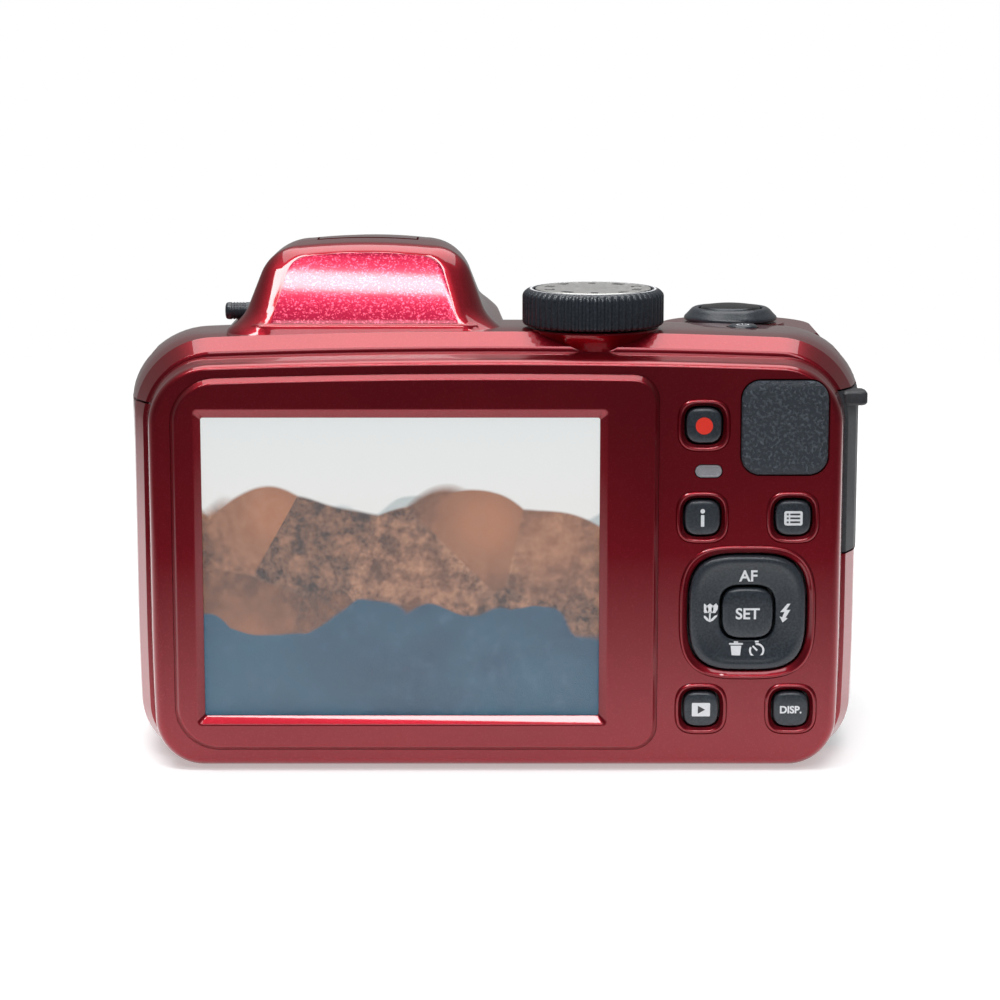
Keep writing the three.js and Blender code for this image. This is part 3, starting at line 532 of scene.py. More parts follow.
# Each row: z, left, right, front, corner radius.
GRIP_LEVELS = [
    (0.4, 25, 54.5, 17, 11),
    (2.4, 23.2, 56.8, 20, 12.5),
    (12, 22.6, 58.2, 22.6, 13.5),
    (28, 22.4, 59.0, 24, 14),
    (45, 22.6, 59.0, 23, 14),
    (56, 23.4, 57.8, 18.5, 14),
    (63, 25.5, 56.2, 12.5, 13.5),
    (span("zoom_lever")[0].z + 4.7, 28, 53.5, 7.5, 12.5),
]


def grip_section(z, left, right, front, radius, inset=0.0):
    l, r, f, q = left + inset, right - inset, front - inset, radius - inset
    outline = [
        (l, GRIP_BACK),
        (r, GRIP_BACK),
        *arc(r - q, f - q, q, q, 0, QUARTER, 14),
        *arc(l + q, f - q, q, q, QUARTER, 2 * QUARTER, 14),
    ]
    return [(x, y, z) for x, y in outline]


def rounded_front(sections):
    """Sections that roll over at the casing's front edge and again where the chamfer meets the side."""
    start, turn, after = sections[:3]

    def along(first, second, share):
        return tuple(a + (b - a) * share for a, b in zip(first, second))

    edge = [along(start, turn, share) for share in (0.10, 0.14, 0.2)]
    pulled = [(start[0], *[v - d for v, d in zip(start[1:], (0.45, -0.45, 0.45, 0.45, 0.45))])]
    corner = []
    for share in (0, 0.25, 0.5, 0.75, 1):
        a = along(start, turn, 0.90)
        b = along(turn, after, 0.09)
        first = along(a, turn, share)
        second = along(turn, b, share)
        corner.append(along(first, second, share))
    return [*pulled, *edge, *corner, *sections[2:]]


def casing_form(name, inset=0.0):
    sections = smooth_sections(CASING_SECTIONS)
    if inset:
        sections[0] = (sections[0][0] - 1, *sections[0][1:])
        sections[-1] = (sections[-1][0] - inset, *sections[-1][1:])
    else:
        sections = rounded_front(sections)
    body = loft(name, [body_section(*s, inset=inset) for s in sections])
    levels = smooth_sections(GRIP_LEVELS, 4)
    if inset:
        levels[0] = (levels[0][0] + inset, *levels[0][1:])
        levels[-1] = (levels[-1][0] - inset, *levels[-1][1:])
    grip = loft("grip_form", [grip_section(*s, inset=inset) for s in levels])
    return join(body, grip)


HUMP_FOOT = 66.5
HUMP_ARCH = 0.5
FLARE = 1.1
FLARE_TOP = 73.0
# Each row: y, lean, half width at the foot, at the shoulder, top, shoulder radius.
HUMP_PANEL = (REAR + 10.3, 0.7, 16.4, 12.9, 80.9, 3.5)
PANEL_INSET = 0.15
PANEL_BULGE = 0.38
PANEL_ROLL = 0.05
HUMP_STATIONS = [
    HUMP_PANEL,
    (REAR + 12.6, 0.62, 21.4, 17.5, 82, 6.4),
    (REAR + 19.5, 0.35, 21.3, 17.4, 82.3, 7),
    (REAR + 33, 0, 21.0, 17.2, HEIGHT - HUMP_ARCH, 7.6),
    (REAR + 50, 0, 20.4, 16.4, HEIGHT - 2, 7),
    (REAR + 62.5, 0, 18.8, 14.9, HEIGHT - 3.1, 6.4),
    (REAR + 65.5, 0, 17.4, 13.5, HEIGHT - 4.4, 5.4),
]


def hump_outline(foot, shoulder, top, round_, inset=0.0, spread=FLARE):
    t, f, s = top - inset, foot - inset, shoulder - inset
    tilt = math.atan2(f - s, t - round_ - HUMP_FOOT)
    right = arc(s - round_, t - round_, round_, round_, tilt, QUARTER, 14)
    flat = s - round_
    crest = [(flat * (1 - 2 * i / 12), t + HUMP_ARCH * (1 - (1 - 2 * i / 12) ** 2)) for i in range(1, 12)]
    flank = []
    for i in range(16):
        z = HUMP_FOOT + (right[0][1] - HUMP_FOOT) * i / 16
        flare = min(max((FLARE_TOP - z) / (FLARE_TOP - DECK), 0), 1.3)
        flank.append((f + (right[0][0] - f) * i / 16 + spread * flare ** 2.2, z))
    left = [(-x, z) for x, z in reversed(right)]
    return [*flank, *right, *crest, *left, *[(-x, z) for x, z in reversed(flank)]]


def hump_ring(y, lean, foot, shoulder, top, round_, inset=0.0, ahead=0.0, spread=FLARE):
    outline = hump_outline(foot, shoulder, top, round_, inset, spread=spread)
    return [(LENS.x + x, y + ahead + lean * (z - HUMP_FOOT), z) for x, z in outline]


def hump_form(name, inset=0.0):
    later = smooth_sections(HUMP_STATIONS, 5)[2:]
    first, second, third = HUMP_STATIONS[0], HUMP_STATIONS[1], later[2]
    stations = [first]
    for k in range(11):
        share = k / 10
        a = [p + (q - p) * (0.25 + 0.75 * share) for p, q in zip(first, second)]
        b = [p + (q - p) * share for p, q in zip(second, third)]
        stations.append(tuple(p + (q - p) * share for p, q in zip(a, b)))
    stations += later[3:]
    rings = []
    for i, station in enumerate(stations):
        ahead = inset if i == 0 else -inset if i == len(stations) - 1 else 0
        rings.append(hump_ring(*station, inset=inset, ahead=ahead))
    return loft(name, rings)


def closed_sweep(name, rings):
    """A ring-shaped solid: outlines of equal point counts joined in a loop."""
    count = len(rings[0])
    points = [point for ring in rings for point in ring]
    faces = []
    for r in range(len(rings)):
        after = (r + 1) % len(rings)
        for i in range(count):
            n = (i + 1) % count
            faces.append((r * count + i, r * count + n, after * count + n, after * count + i))
    return outward(new_piece(name, points, faces))


def rounding(first, second, steps=8):
    """Sections that turn from facing the user to facing sideways between two listed ones."""
    made = []
    for k in range(steps + 1):
        angle = QUARTER * k / steps
        y = first[0] + (second[0] - first[0]) * (1 - math.cos(angle))
        rest = [a + (b - a) * math.sin(angle) for a, b in zip(first[1:], second[1:])]
        made.append((y, *rest))
    return made


def tidy(piece):
    work = bmesh.new()
    work.from_mesh(piece.data)
    bmesh.ops.remove_doubles(work, verts=work.verts, dist=0.004 * MM)
    bmesh.ops.dissolve_degenerate(work, edges=work.edges, dist=0.002 * MM)
    work.to_mesh(piece.data)
    work.free()
    return piece


# ---------------------------------------------------------------- rear cover
COVER_FACE = (REAR_FACE, 53.0, 2.1, 65.4, 8, 6)
COVER_TURN = (REAR_FACE + 2, 54.7, 0.8, 66.4, 9.6, 7.4)
COVER_EDGE = (PART_LINE, 55.5, 0.6, 66.8, 10, 7.8)
COVER_END = (CASING_START - 0.03, 55.5, 0.6, 66.8, 10, 7.8)
WELL = 3.05
SURROUND = 4.2
PAD_SURROUND = 10.9
PAD_POWER = 3.4
KEY_HALF = 2.75


def grow(box, by):
    left, right, bottom, top = box
    return left - by, right + by, bottom - by, top + by


def front_box(node):
    low, high = span(node)
    return low.x, high.x, low.z, high.z


def plate_outline(box, corner, left_corner, crown=CROWN):
    """The screen frame's outline, whose top follows the crown of the deck."""
    outline = rounded(*box, corner, left_corner)
    left, right, _, top = box
    turn = 2 * 11
    span_x = right - corner - left - left_corner
    level = [(right - corner - span_x * k / 16, top) for k in range(1, 16)]
    points = [*outline[:turn], *level, *outline[turn:]]
    return [(x, z * (1 - crown * (x / HALF_WIDTH) ** 2 * z / DECK ** 2)) for x, z in points]


def make_rear_cover():
    sections = [*rounding(COVER_FACE, COVER_TURN), COVER_EDGE, COVER_END]
    cover = loft("rear_cover_fine", [body_section(*s) for s in sections])
    back = list(COVER_TURN)
    back[0] = REAR_FACE + 3.5
    end = list(COVER_EDGE)
    end[0] += 1
    cut(cover, loft("cavity", [body_section(*back, inset=2), body_section(*end, inset=2)]))
    plate = plate_outline(grow(front_box("screen_frame"), 0.03), 4.03, 7.03)
    cut(cover, prism("pocket", plate, (REAR - 1, REAR + 2.9)))
    window = rounded(*grow(front_box("screen_window"), 1.0), 1)
    cut(cover, prism("opening", window, (REAR - 1, REAR + 6)))
    for key in KEYS:
        place = middle(key)
        cut(cover, prism("well", squircle(place.x, place.z, SURROUND), (REAR - 1, REAR + 6)))
    cut(cover, prism("pad_well", squircle(PAD.x, PAD.z, PAD_SURROUND), (REAR - 1, REAR + 6)))
    thumb = rounded(*grow(front_box("thumb_rest"), 0.05), 3.25)
    cut(cover, prism("thumb_pocket", thumb, (REAR - 1, REAR_FACE + 1.3)))
    lamp = rounded(*grow(front_box("status_lamp"), 0.12), 1.1)
    cut(cover, prism("lamp_hole", lamp, (REAR - 1, REAR + 6)))
    smooth(tidy(cover), angle=32)
    finish_piece(cover, "red_paint", replaces=["rear_cover"])


def surround_rings(x, z, outer, inner, power=3.2):
    """A fine groove, a round bead, then a shallow slope that falls to the key."""
    face = REAR_FACE
    steps = [
        (outer, face + 3.4),
        (outer, face + 0.02),
        (outer - 0.06, face + 0.10),
        (outer - 0.13, face + 0.06),
        (outer - 0.22, face - 0.08),
        (outer - 0.34, face - 0.17),
        (outer - 0.46, face - 0.19),
        (outer - 0.58, face - 0.13),
        (outer - 0.68, face - 0.02),
        (inner + 0.30, face + 0.22),
        (inner + 0.12, face + 0.30),
        (inner + 0.03, face + 0.40),
        (inner, face + 0.55),
        (inner, face + 3.4),
    ]
    return [at_depth(squircle(x, z, size, power, 96), y) for size, y in steps]


def make_surrounds():
    for key in KEYS:
        place = middle(key)
        made = closed_sweep(key + "_surround", surround_rings(place.x, place.z, SURROUND, WELL))
        finish_piece(smooth(made, angle=40), "red_paint")
    made = closed_sweep("pad_surround", surround_rings(PAD.x, PAD.z, PAD_SURROUND, 9.5, PAD_POWER))
    finish_piece(smooth(made, angle=40), "red_paint")


# ---------------------------------------------------------------- screen
WINDOW_FRONT = (-47.4, 17.6, 8.0, 58.5)
WINDOW_BACK = (-46.3, 16.4, 9.2, 57.2)


def make_screen_frame():
    box = front_box("screen_frame")

    def outer(inset, y):
        return at_depth(plate_outline(grow(box, -inset), 4 - inset, 7 - inset), y)

    def inner(box_now, corner, y):
        return at_depth(plate_outline(box_now, corner, corner, 0), y)

    rings = [
        outer(0, REAR + 2.6),
        outer(0, REAR + 1.02),
        outer(0.03, REAR + 0.92),
        outer(0.10, REAR + 0.82),
        outer(0.68, REAR + 0.14),
        outer(0.80, REAR + 0.05),
        outer(0.98, REAR + 0.01),
        outer(1.2, REAR),
        inner(grow(WINDOW_FRONT, 0.35), 1.0, REAR),
        inner(grow(WINDOW_FRONT, 0.1), 0.8, REAR + 0.03),
        inner(grow(WINDOW_FRONT, -0.06), 0.7, REAR + 0.10),
        inner(grow(WINDOW_BACK, 0.05), 0.4, REAR + 1.02),
        inner(WINDOW_BACK, 0.35, REAR + 1.1),
        inner(WINDOW_BACK, 0.35, REAR + 1.3),
        inner(grow(WINDOW_BACK, 2), 0.35, REAR + 1.35),
        inner(grow(WINDOW_BACK, 2), 0.35, REAR + 2.6),
    ]
    made = closed_sweep("screen_frame_fine", rings)
    finish_piece(smooth(made, angle=50), "red_paint", replaces=["screen_frame"])


def make_display():
    """The lit picture behind the window."""
    material, tree, principled = shader("picture", (0.5, 0.5, 0.5), 0.35)
    place = node(tree, "ShaderNodeSeparateXYZ")
    tree.links.new(object_coordinates(tree), place.inputs["Vector"])
    low, high = span("screen_panel")
    share = mapped(tree, place.outputs["Z"], low.z * MM, high.z * MM, 0.0, 1.0)

    def layer(factor, below, over):
        made = node(tree, "ShaderNodeMix", data_type="RGBA")
        tree.links.new(factor, made.inputs["Factor"])
        tree.links.new(below, made.inputs["A"])
        tree.links.new(over, made.inputs["B"])
        return made.outputs["Result"]

    def under(level, swell, swell_scale, bumps, bump_scale):
        """1 below a skyline of round crowns: a slow swell plus a dome over each cell."""
        dome = node(tree, "ShaderNodeTexVoronoi", {"Scale": bump_scale}, voronoi_dimensions="2D")
        flat = node(tree, "ShaderNodeCombineXYZ")
        tree.links.new(place.outputs["X"], flat.inputs["X"])
        tree.links.new(place.outputs["Z"], flat.inputs["Y"])
        tree.links.new(flat.outputs["Vector"], dome.inputs["Vector"])
        first = node(tree, "ShaderNodeMath", {1: swell}, operation="MULTIPLY_ADD")
        tree.links.new(noise(tree, swell_scale, 2, 0.5), first.inputs[0])
        tree.links.new(share, first.inputs[2])
        second = node(tree, "ShaderNodeMath", {1: bumps}, operation="MULTIPLY_ADD")
        tree.links.new(dome.outputs["Distance"], second.inputs[0])
        tree.links.new(first.outputs["Value"], second.inputs[2])
        inside = mapped(tree, second.outputs["Value"], level - 0.006, level + 0.006, 1, 0)
        return inside, dome

    def foliage(dome, dark, light, leaf_scale):
        """Crowns of different tints, lit from above, with leafy speckle."""
        split = node(tree, "ShaderNodeSeparateColor")
        tree.links.new(dome.outputs["Color"], split.inputs["Color"])
        tint = mixed(tree, split.outputs["Red"], dark, light)
        edge = mapped(tree, dome.outputs["Distance"], 0.15, 0.75, 0.0, 0.85)
        shaded = mixed(tree, split.outputs["Green"], (0.012, 0.008, 0.008), (0.05, 0.02, 0.015))
        rounded_off = layer(edge, tint, shaded)
        leaf = mapped(tree, noise(tree, leaf_scale, 4, 0.75), 0.40, 0.70, 0.0, 0.75)
        warm = mixed(tree, split.outputs["Blue"], (0.22, 0.075, 0.03), (0.62, 0.30, 0.17))
        return layer(leaf, rounded_off, warm)

    sky = mixed(tree, mapped(tree, share, 0.6, 1.0, 0, 1), (0.80, 0.79, 0.77), (0.77, 0.80, 0.80))
    far_edge, _ = under(0.93, 0.42, 30, 0.05, 160)
    near_edge, near_dome = under(0.96, 0.38, 24, 0.16, 62)
    shore_edge, _ = under(0.60, 0.42, 42, 0.10, FAR)
    haze = mixed(tree, noise(tree, 140, 3), (0.40, 0.46, 0.48), (0.55, 0.58, 0.57))
    water = mixed(tree, noise(tree, 75, 5, 0.6), (0.004, 0.010, 0.045), (0.02, 0.13, 0.21))
    ripple = mapped(tree, noise(tree, 420, 4, 0.7), 0.50, 0.66, 0, 0.55)
    lake = layer(ripple, water, mixed(tree, ripple, (0.01, 0.05, 0.12), (0.10, 0.20, 0.28)))
    picture = layer(far_edge, sky, haze)
    picture = layer(near_edge, picture, foliage(near_dome, (0.035, 0.018, 0.014), (0.45, 0.17, 0.075), 330))
    picture = layer(shore_edge, picture, lake)
    principled.inputs["Base Color"].default_value = (0.01, 0.01, 0.01, 1)
    tree.links.new(picture, principled.inputs["Emission Color"])
    principled.inputs["Emission Strength"].default_value = 1.0
    principled.inputs["Specular IOR Level"].default_value = 0.1
    MATERIALS["picture"] = material
    outline = rounded(*front_box("screen_panel"), 0.6)
    low, high = span("screen_panel")
    made = prism("screen_panel_fine", outline, (low.y, low.y + 0.15, high.y))
    finish_piece(smooth(made, angle=30), "picture", replaces=["screen_panel"])
    window = front_box("screen_window")
    low, high = span("screen_window")
    glass = prism("screen_window_fine", rounded(*window, 0.6), (low.y, low.y + 0.1, high.y))
    finish_piece(smooth(glass, angle=30), "clear_glass", replaces=["screen_window"])


# ---------------------------------------------------------------- keys
def cap_rings(x, z, half, power, profile):
    """profile: (distance in from the edge, y)."""
    return [at_depth(squircle(x, z, half - inset, power), y) for inset, y in profile]


def key_profile(face, back, half):
    """Side wall, rounded shoulder, then a gently pillowed top."""
    return [
        (0.0, back),
        (0.0, face + 0.62),
        (0.05, face + 0.40),
        (0.16, face + 0.24),
        (0.34, face + 0.15),
        (0.60, face + 0.095),
        (1.0, face + 0.05),
        (1.5, face + 0.015),
        (half * 0.75, face),
        (half * 0.98, face),
    ]


def make_key(name, half, power=3.2):
    """One key with its flange. Returns the middle of its face, as x, z and the depth for its mark."""
    low, high = span(name)
    x, z = middle(name).x, middle(name).z
    made = loft(name + "_fine", cap_rings(x, z, half, power, key_profile(low.y, high.y, half)))
    flange = prism("flange", squircle(x, z, half + 1, power), (high.y - 0.7, high.y))
    join(made, flange)
    finish_piece(smooth(made, angle=40), "black_plastic", name, replaces=[name])
    return x, z, low.y - 0.02


def circle(x, z, radius, count=40):
    return arc(x, z, radius, radius, 0, 2 * math.pi * (1 - 1 / count), count - 1)


def rectangle(left, right, bottom, top):
    return [(left, bottom), (right, bottom), (right, top), (left, top)]


def make_keys():
    x, z, y = make_key("record_button", KEY_HALF)
    flat_piece("record_dot", [circle(x, z, 1.35)], y, "record_button", "red_print")

    x, z, y = make_key("info_button", KEY_HALF)
    letter = [circle(x, z + 1.12, 0.36, 24), rounded(x - 0.27, x + 0.27, z - 1.35, z + 0.52, 0.08, steps=3)]
    flat_piece("info_mark", letter, y, "info_button")

    x, z, y = make_key("menu_button", KEY_HALF)
    sheet = rounded(x - 1.45, x + 1.45, z - 1.15, z + 1.15, 0.35, steps=5)
    flat_piece("menu_sheet", [sheet], y, "menu_button")
    rows = []
    for level in (-0.62, 0, 0.62):
        rows.append(rectangle(x - 1.05, x - 0.75, z + level - 0.14, z + level + 0.14))
        rows.append(rectangle(x - 0.5, x + 1.05, z + level - 0.14, z + level + 0.14))
    flat_piece("menu_rows", rows, y - 0.02, "menu_button", "dark_print")

    x, z, y = make_key("playback_button", KEY_HALF)
    sheet = rounded(x - 1.45, x + 1.45, z - 1.1, z + 1.1, 0.15, steps=3)
    flat_piece("playback_sheet", [sheet], y, "playback_button")
    triangle = [(x - 0.5, z - 0.65), (x + 0.65, z), (x - 0.5, z + 0.65)]
    flat_piece("playback_triangle", [triangle], y - 0.02, "playback_button", "dark_print")

    x, z, y = make_key("display_button", KEY_HALF)
    text_piece("display_word", "DISP.", 1.62, x, z, y, "display_button")


def pad_profile():
    low, high = span("four_way_pad")
    face = low.y
    return [
        (0.0, high.y),
        (0.0, face + 0.75),
        (0.05, face + 0.42),
        (0.18, face + 0.20),
        (0.40, face + 0.07),
        (0.70, face + 0.01),
        (1.00, face + 0.0),
        (1.25, face + 0.05),
        (1.50, face + 0.16),
        (1.80, face + 0.25),
        (2.4, face + 0.36),
        (3.4, face + 0.50),
        (4.2, face + 0.56),
        (4.55, face + 0.60),
        (4.70, face + 0.68),
        (4.75, face + 0.80),
        (4.75, high.y),
    ]


def make_pad():
    x, z = PAD.x, PAD.z
    half = 9.2
    rings = [at_depth(squircle(x, z, half - inset, PAD_POWER, 120), y) for inset, y in pad_profile()]
    made = closed_sweep("four_way_pad_fine", rings)
    skirt = prism("skirt", squircle(x, z, 10.3, PAD_POWER, 120), (REAR + 5.2, REAR + 5.8))
    cut(skirt, prism("skirt_hole", squircle(x, z, 4.6, PAD_POWER, 60), (REAR + 4, REAR + 7)))
    join(made, skirt)
    finish_piece(smooth(made, angle=40), "black_plastic", "four_way_pad", replaces=["four_way_pad"])
    y = span("four_way_pad")[0].y + 0.34
    body = "four_way_pad"
    text_piece("autofocus_letters", "AF", 2.5, x + 0.05, z + 6.0, y, body)
    flat_piece("flash_bolt", [bolt(x + 5.95, z)], y, body)
    flat_piece("flower_mark", flower(x - 5.95, z), y, body)
    flat_piece("bin_mark", dustbin(x - 1.75, z - 6.05), y, body)
    flat_piece("timer_mark", timer(x + 1.55, z - 6.0), y, body)
    make_key("set_button", 4.0, PAD_POWER)
    text_piece("set_word", "SET", 2.45, x, z, span("set_button")[0].y - 0.02, "set_button")


def bolt(x, z):
    """Lightning bolt with an arrow's head at its foot."""
    points = [(0.35, 1.5), (-0.75, 0.15), (-0.1, 0.15), (-0.45, -0.7), (-0.85, -0.55), (-0.35, -1.55),
              (0.45, -0.85), (0.1, -0.75), (0.85, 0.5), (0.2, 0.5), (0.85, 1.5)]
    return [(x + a, z + b) for a, b in points]


def flower(x, z):
    """Tulip: three petals, a stem and two leaves."""
    petal = ((-1, -0.1), (-0.55, -0.75), (0.55, -0.75), (1, -0.1), (0.75, 0.45), (0, 0.8), (-0.75, 0.45))
    leaf = ((0.1, -1.4), (0.5, -1.25), (1.15, -0.55), (1.2, -0.3), (0.7, -0.5), (0.2, -1.0))
    petals = []
    for shift, lean, size in ((-0.72, 0.25, 0.5), (0.72, -0.25, 0.5), (0, 0, 0.58)):
        petals.append([(x + shift - lean * (b + 0.2) + size * a, z + 0.75 + b) for a, b in petal])
    stem = rectangle(x - 0.13, x + 0.13, z - 1.45, z + 0.1)
    leaves = [[(x + side * a, z + b) for a, b in leaf] for side in (-1, 1)]
    return [*petals, stem, *leaves]


def dustbin(x, z):
    tub = [(x - 0.85, z + 0.75), (x - 0.62, z - 1.3), (x + 0.62, z - 1.3), (x + 0.85, z + 0.75)]
    lid = rectangle(x - 1.1, x + 1.1, z + 0.9, z + 1.18)
    knob = rectangle(x - 0.35, x + 0.35, z + 1.22, z + 1.45)
    return [tub, lid, knob]


def band(x, z, outer, inner, start, stop, count=36):
    outside = arc(x, z, outer, outer, start, stop, count)
    inside = arc(x, z, inner, inner, start, stop, count)
    return [*outside, *reversed(inside)]


def timer(x, z):
    """Self-timer: a clock ring open at the top left with one hand and a button."""
    dial = band(x, z - 0.1, 1.22, 0.90, math.radians(-210), math.radians(100))
    hand = [(x - 0.75, z + 0.55), (x - 0.55, z + 0.75), (x + 0.2, z + 0.02), (x - 0.02, z - 0.2)]
    knob = rectangle(x - 0.3, x + 0.3, z + 1.22, z + 1.5)
    return [dial, hand, knob]


def make_rear_trim():
    low, high = span("thumb_rest")
    box = front_box("thumb_rest")

    def ring(inset, y):
        return at_depth(rounded(*grow(box, -0.2 - inset), 3.0 - 0.9 * inset), y)

    rings = [ring(0, high.y), ring(0, low.y + 0.9), ring(0.08, low.y + 0.62), ring(0.28, low.y + 0.36),
             ring(0.6, low.y + 0.17), ring(1.0, low.y + 0.06), ring(1.5, low.y), ring(3.0, low.y)]
    made = loft("thumb_rest_fine", rings)
    finish_piece(smooth(made, angle=50), "black_rubber", replaces=["thumb_rest"])
    low, high = span("status_lamp")
    box = front_box("status_lamp")

    def lamp_ring(inset, y):
        return at_depth(rounded(*grow(box, -inset), 0.95 - inset, steps=8), y)

    rings = [lamp_ring(0, high.y), lamp_ring(0, low.y + 0.12), lamp_ring(0.06, low.y), lamp_ring(0.24, low.y),
             lamp_ring(0.3, low.y + 0.1), lamp_ring(0.4, low.y + 0.16), lamp_ring(0.8, low.y + 0.16)]
    lamp = loft("status_lamp_fine", rings)
    finish_piece(smooth(lamp, angle=40), "grey_plastic", replaces=["status_lamp"])


# ---------------------------------------------------------------- casing
def along_y(name, x, z, radius, y, segments=96):
    return turned(name, [(0, y[0]), (radius, y[0]), (radius, y[1]), (0, y[1])], (x, 0, z), "Y", segments)


def along_z(name, x, y, profile, segments=96):
    return turned(name, profile, (x, y, 0), "Z", segments)


def rod_z(name, x, y, radius, z, segments=64):
    return along_z(name, x, y, [(0, z[0]), (radius, z[0]), (radius, z[1]), (0, z[1])], segments)


def outboard(side, edge):
    """The x range beyond an edge, on the right for side 1 and on the left for side -1."""
    return (edge, FAR) if side > 0 else (-FAR, -edge)


def panel_zone(side, by=0.0):
    low, high = span("side_panel_right")
    x = outboard(side, 56.6 - by)
    return block("panel_zone", x, (low.y - by, high.y + by), (low.z - by, high.z + by))


def port_zone():
    low, high = span("port_cover")
    return block("port_zone", (53.8, FAR), (low.y - GAP, high.y + GAP), (low.z - GAP, high.z + GAP))


def eyelet_zone(side):
    low, high = span("strap_bar_left")
    x = outboard(side, HALF_WIDTH - 5.6)
    return block("eyelet_zone", x, (low.y - GAP, high.y + GAP), (60.2, 65.6))


def door_zone():
    low, high = span("battery_door_hinge")
    axis = low.x + 1.1
    top = span("battery_door")[1].z + GAP
    return block("door_zone", (axis - 1.6, FAR), (low.y - GAP, high.y + GAP), (-2, top))


def skin_zone(by=0.0):
    low, high = span("grip_cover")
    return block("skin_zone", (24 - by, FAR), (low.y - by, FAR), (low.z - by, high.z + by))


def make_casing():
    outer = casing_form("outer_form")
    cavity = casing_form("cavity_form", 2)
    shell = copy(outer, "front_casing_fine")
    boolean(shell, cavity, keep=True)
    within(shell, block("low_half", EVERY, EVERY, (-2, TOP_SEAM - GAP / 2)))
    under = casing_form("under_panels", 1.5)
    for zone in (panel_zone(-1, GAP), panel_zone(1, GAP), skin_zone(GAP)):
        boolean(zone, under, keep=True)
        cut(shell, zone)
    remove(under)
    cut(
        shell,
        along_y("lens_hole", LENS.x, LENS.z, 31, (BODY_FRONT - 6, BODY_FRONT + 6)),
        rod_z("tripod_hole", middle("tripod_bush").x, middle("tripod_bush").y, 6.8, (-1, 5)),
        door_zone(),
        port_zone(),
    )
    for i in range(4):
        place = middle(f"case_screw_{i + 1}")
        cut(shell, rod_z("screw_hole", place.x, place.y, 1.9, (-1, 1.2), 32))
    smooth(tidy(shell), angle=30)
    finish_piece(shell, "red_paint", replaces=["front_casing"])
    for name, side in (("side_panel_left", -1), ("side_panel_right", 1)):
        panel = within(copy(outer, name + "_fine"), panel_zone(side))
        cut(panel, casing_form("under_panel", 1.2))
        if side > 0:
            cut(panel, port_zone())
        finish_piece(smooth(tidy(panel), angle=30), "red_paint", replaces=[name])
    skin = within(copy(outer, "grip_cover_fine"), skin_zone())
    cut(skin, casing_form("under_skin", 1.2))
    finish_piece(smooth(tidy(skin), angle=30), "black_rubber", replaces=["grip_cover"])
    return outer, cavity


FLASH_SEAM = 73.6
FLASH_LOW = span("flash_head")[0]
FLASH_AXIS = Vector((LENS.x, FLASH_LOW.y + 1.5, 81.0))
FLASH_BACK = FLASH_AXIS.y + 3.7
KNUCKLE = 8


def flash_zone(by=0.0):
    return block("flash_zone", EVERY, (FLASH_BACK - by, FAR), (FLASH_SEAM - by, ABOVE))


def knuckle_room():
    """The slot in the hump's roof for the hinge knuckle, and the undercut it turns into."""
    x = (LENS.x - KNUCKLE - GAP, LENS.x + KNUCKLE + GAP)
    below = FLASH_AXIS.z - 1.8
    slot = block("slot", x, (FLASH_AXIS.y - 1.6, FLASH_BACK + 1), (below, ABOVE))
    undercut = block("undercut", x, (FLASH_AXIS.y - 2.3, FLASH_AXIS.y), (below, FLASH_AXIS.z + 1.3))
    return slot, undercut


def panel_slab(name, by, front, back):
    inset = PANEL_INSET - by
    slab = loft(name, [hump_ring(*HUMP_PANEL, inset=inset, ahead=a, spread=0) for a in (front, back)])
    return within(slab, block("above_foot", EVERY, EVERY, (DECK + 0.4 - by, ABOVE)))


def hump_foot():
    """The steep lip under the rear panel, whose ends curve back into the flanks."""
    base = 68.4
    lip = [
        (14.6, base), (14.4, 70.62), (13.5, 70.62), (13.1, 70.60), (12.8, 70.50),
        (12.6, 70.34), (12.45, 70.1), (12.2, 69.6), (11.9, 69.0), (11.6, base),
    ]
    rings = []
    for k in range(33):
        share = -1 + 2 * k / 32
        bend = max(abs(share) - 0.72, 0) / 0.28
        size = 1 - 0.6 * bend ** 3
        x, back = LENS.x + 20.6 * share, 2.9 * bend ** 2
        rings.append([(x, REAR + y + back, base + (z - base) * size) for y, z in lip])
    return loft("hump_foot", rings)


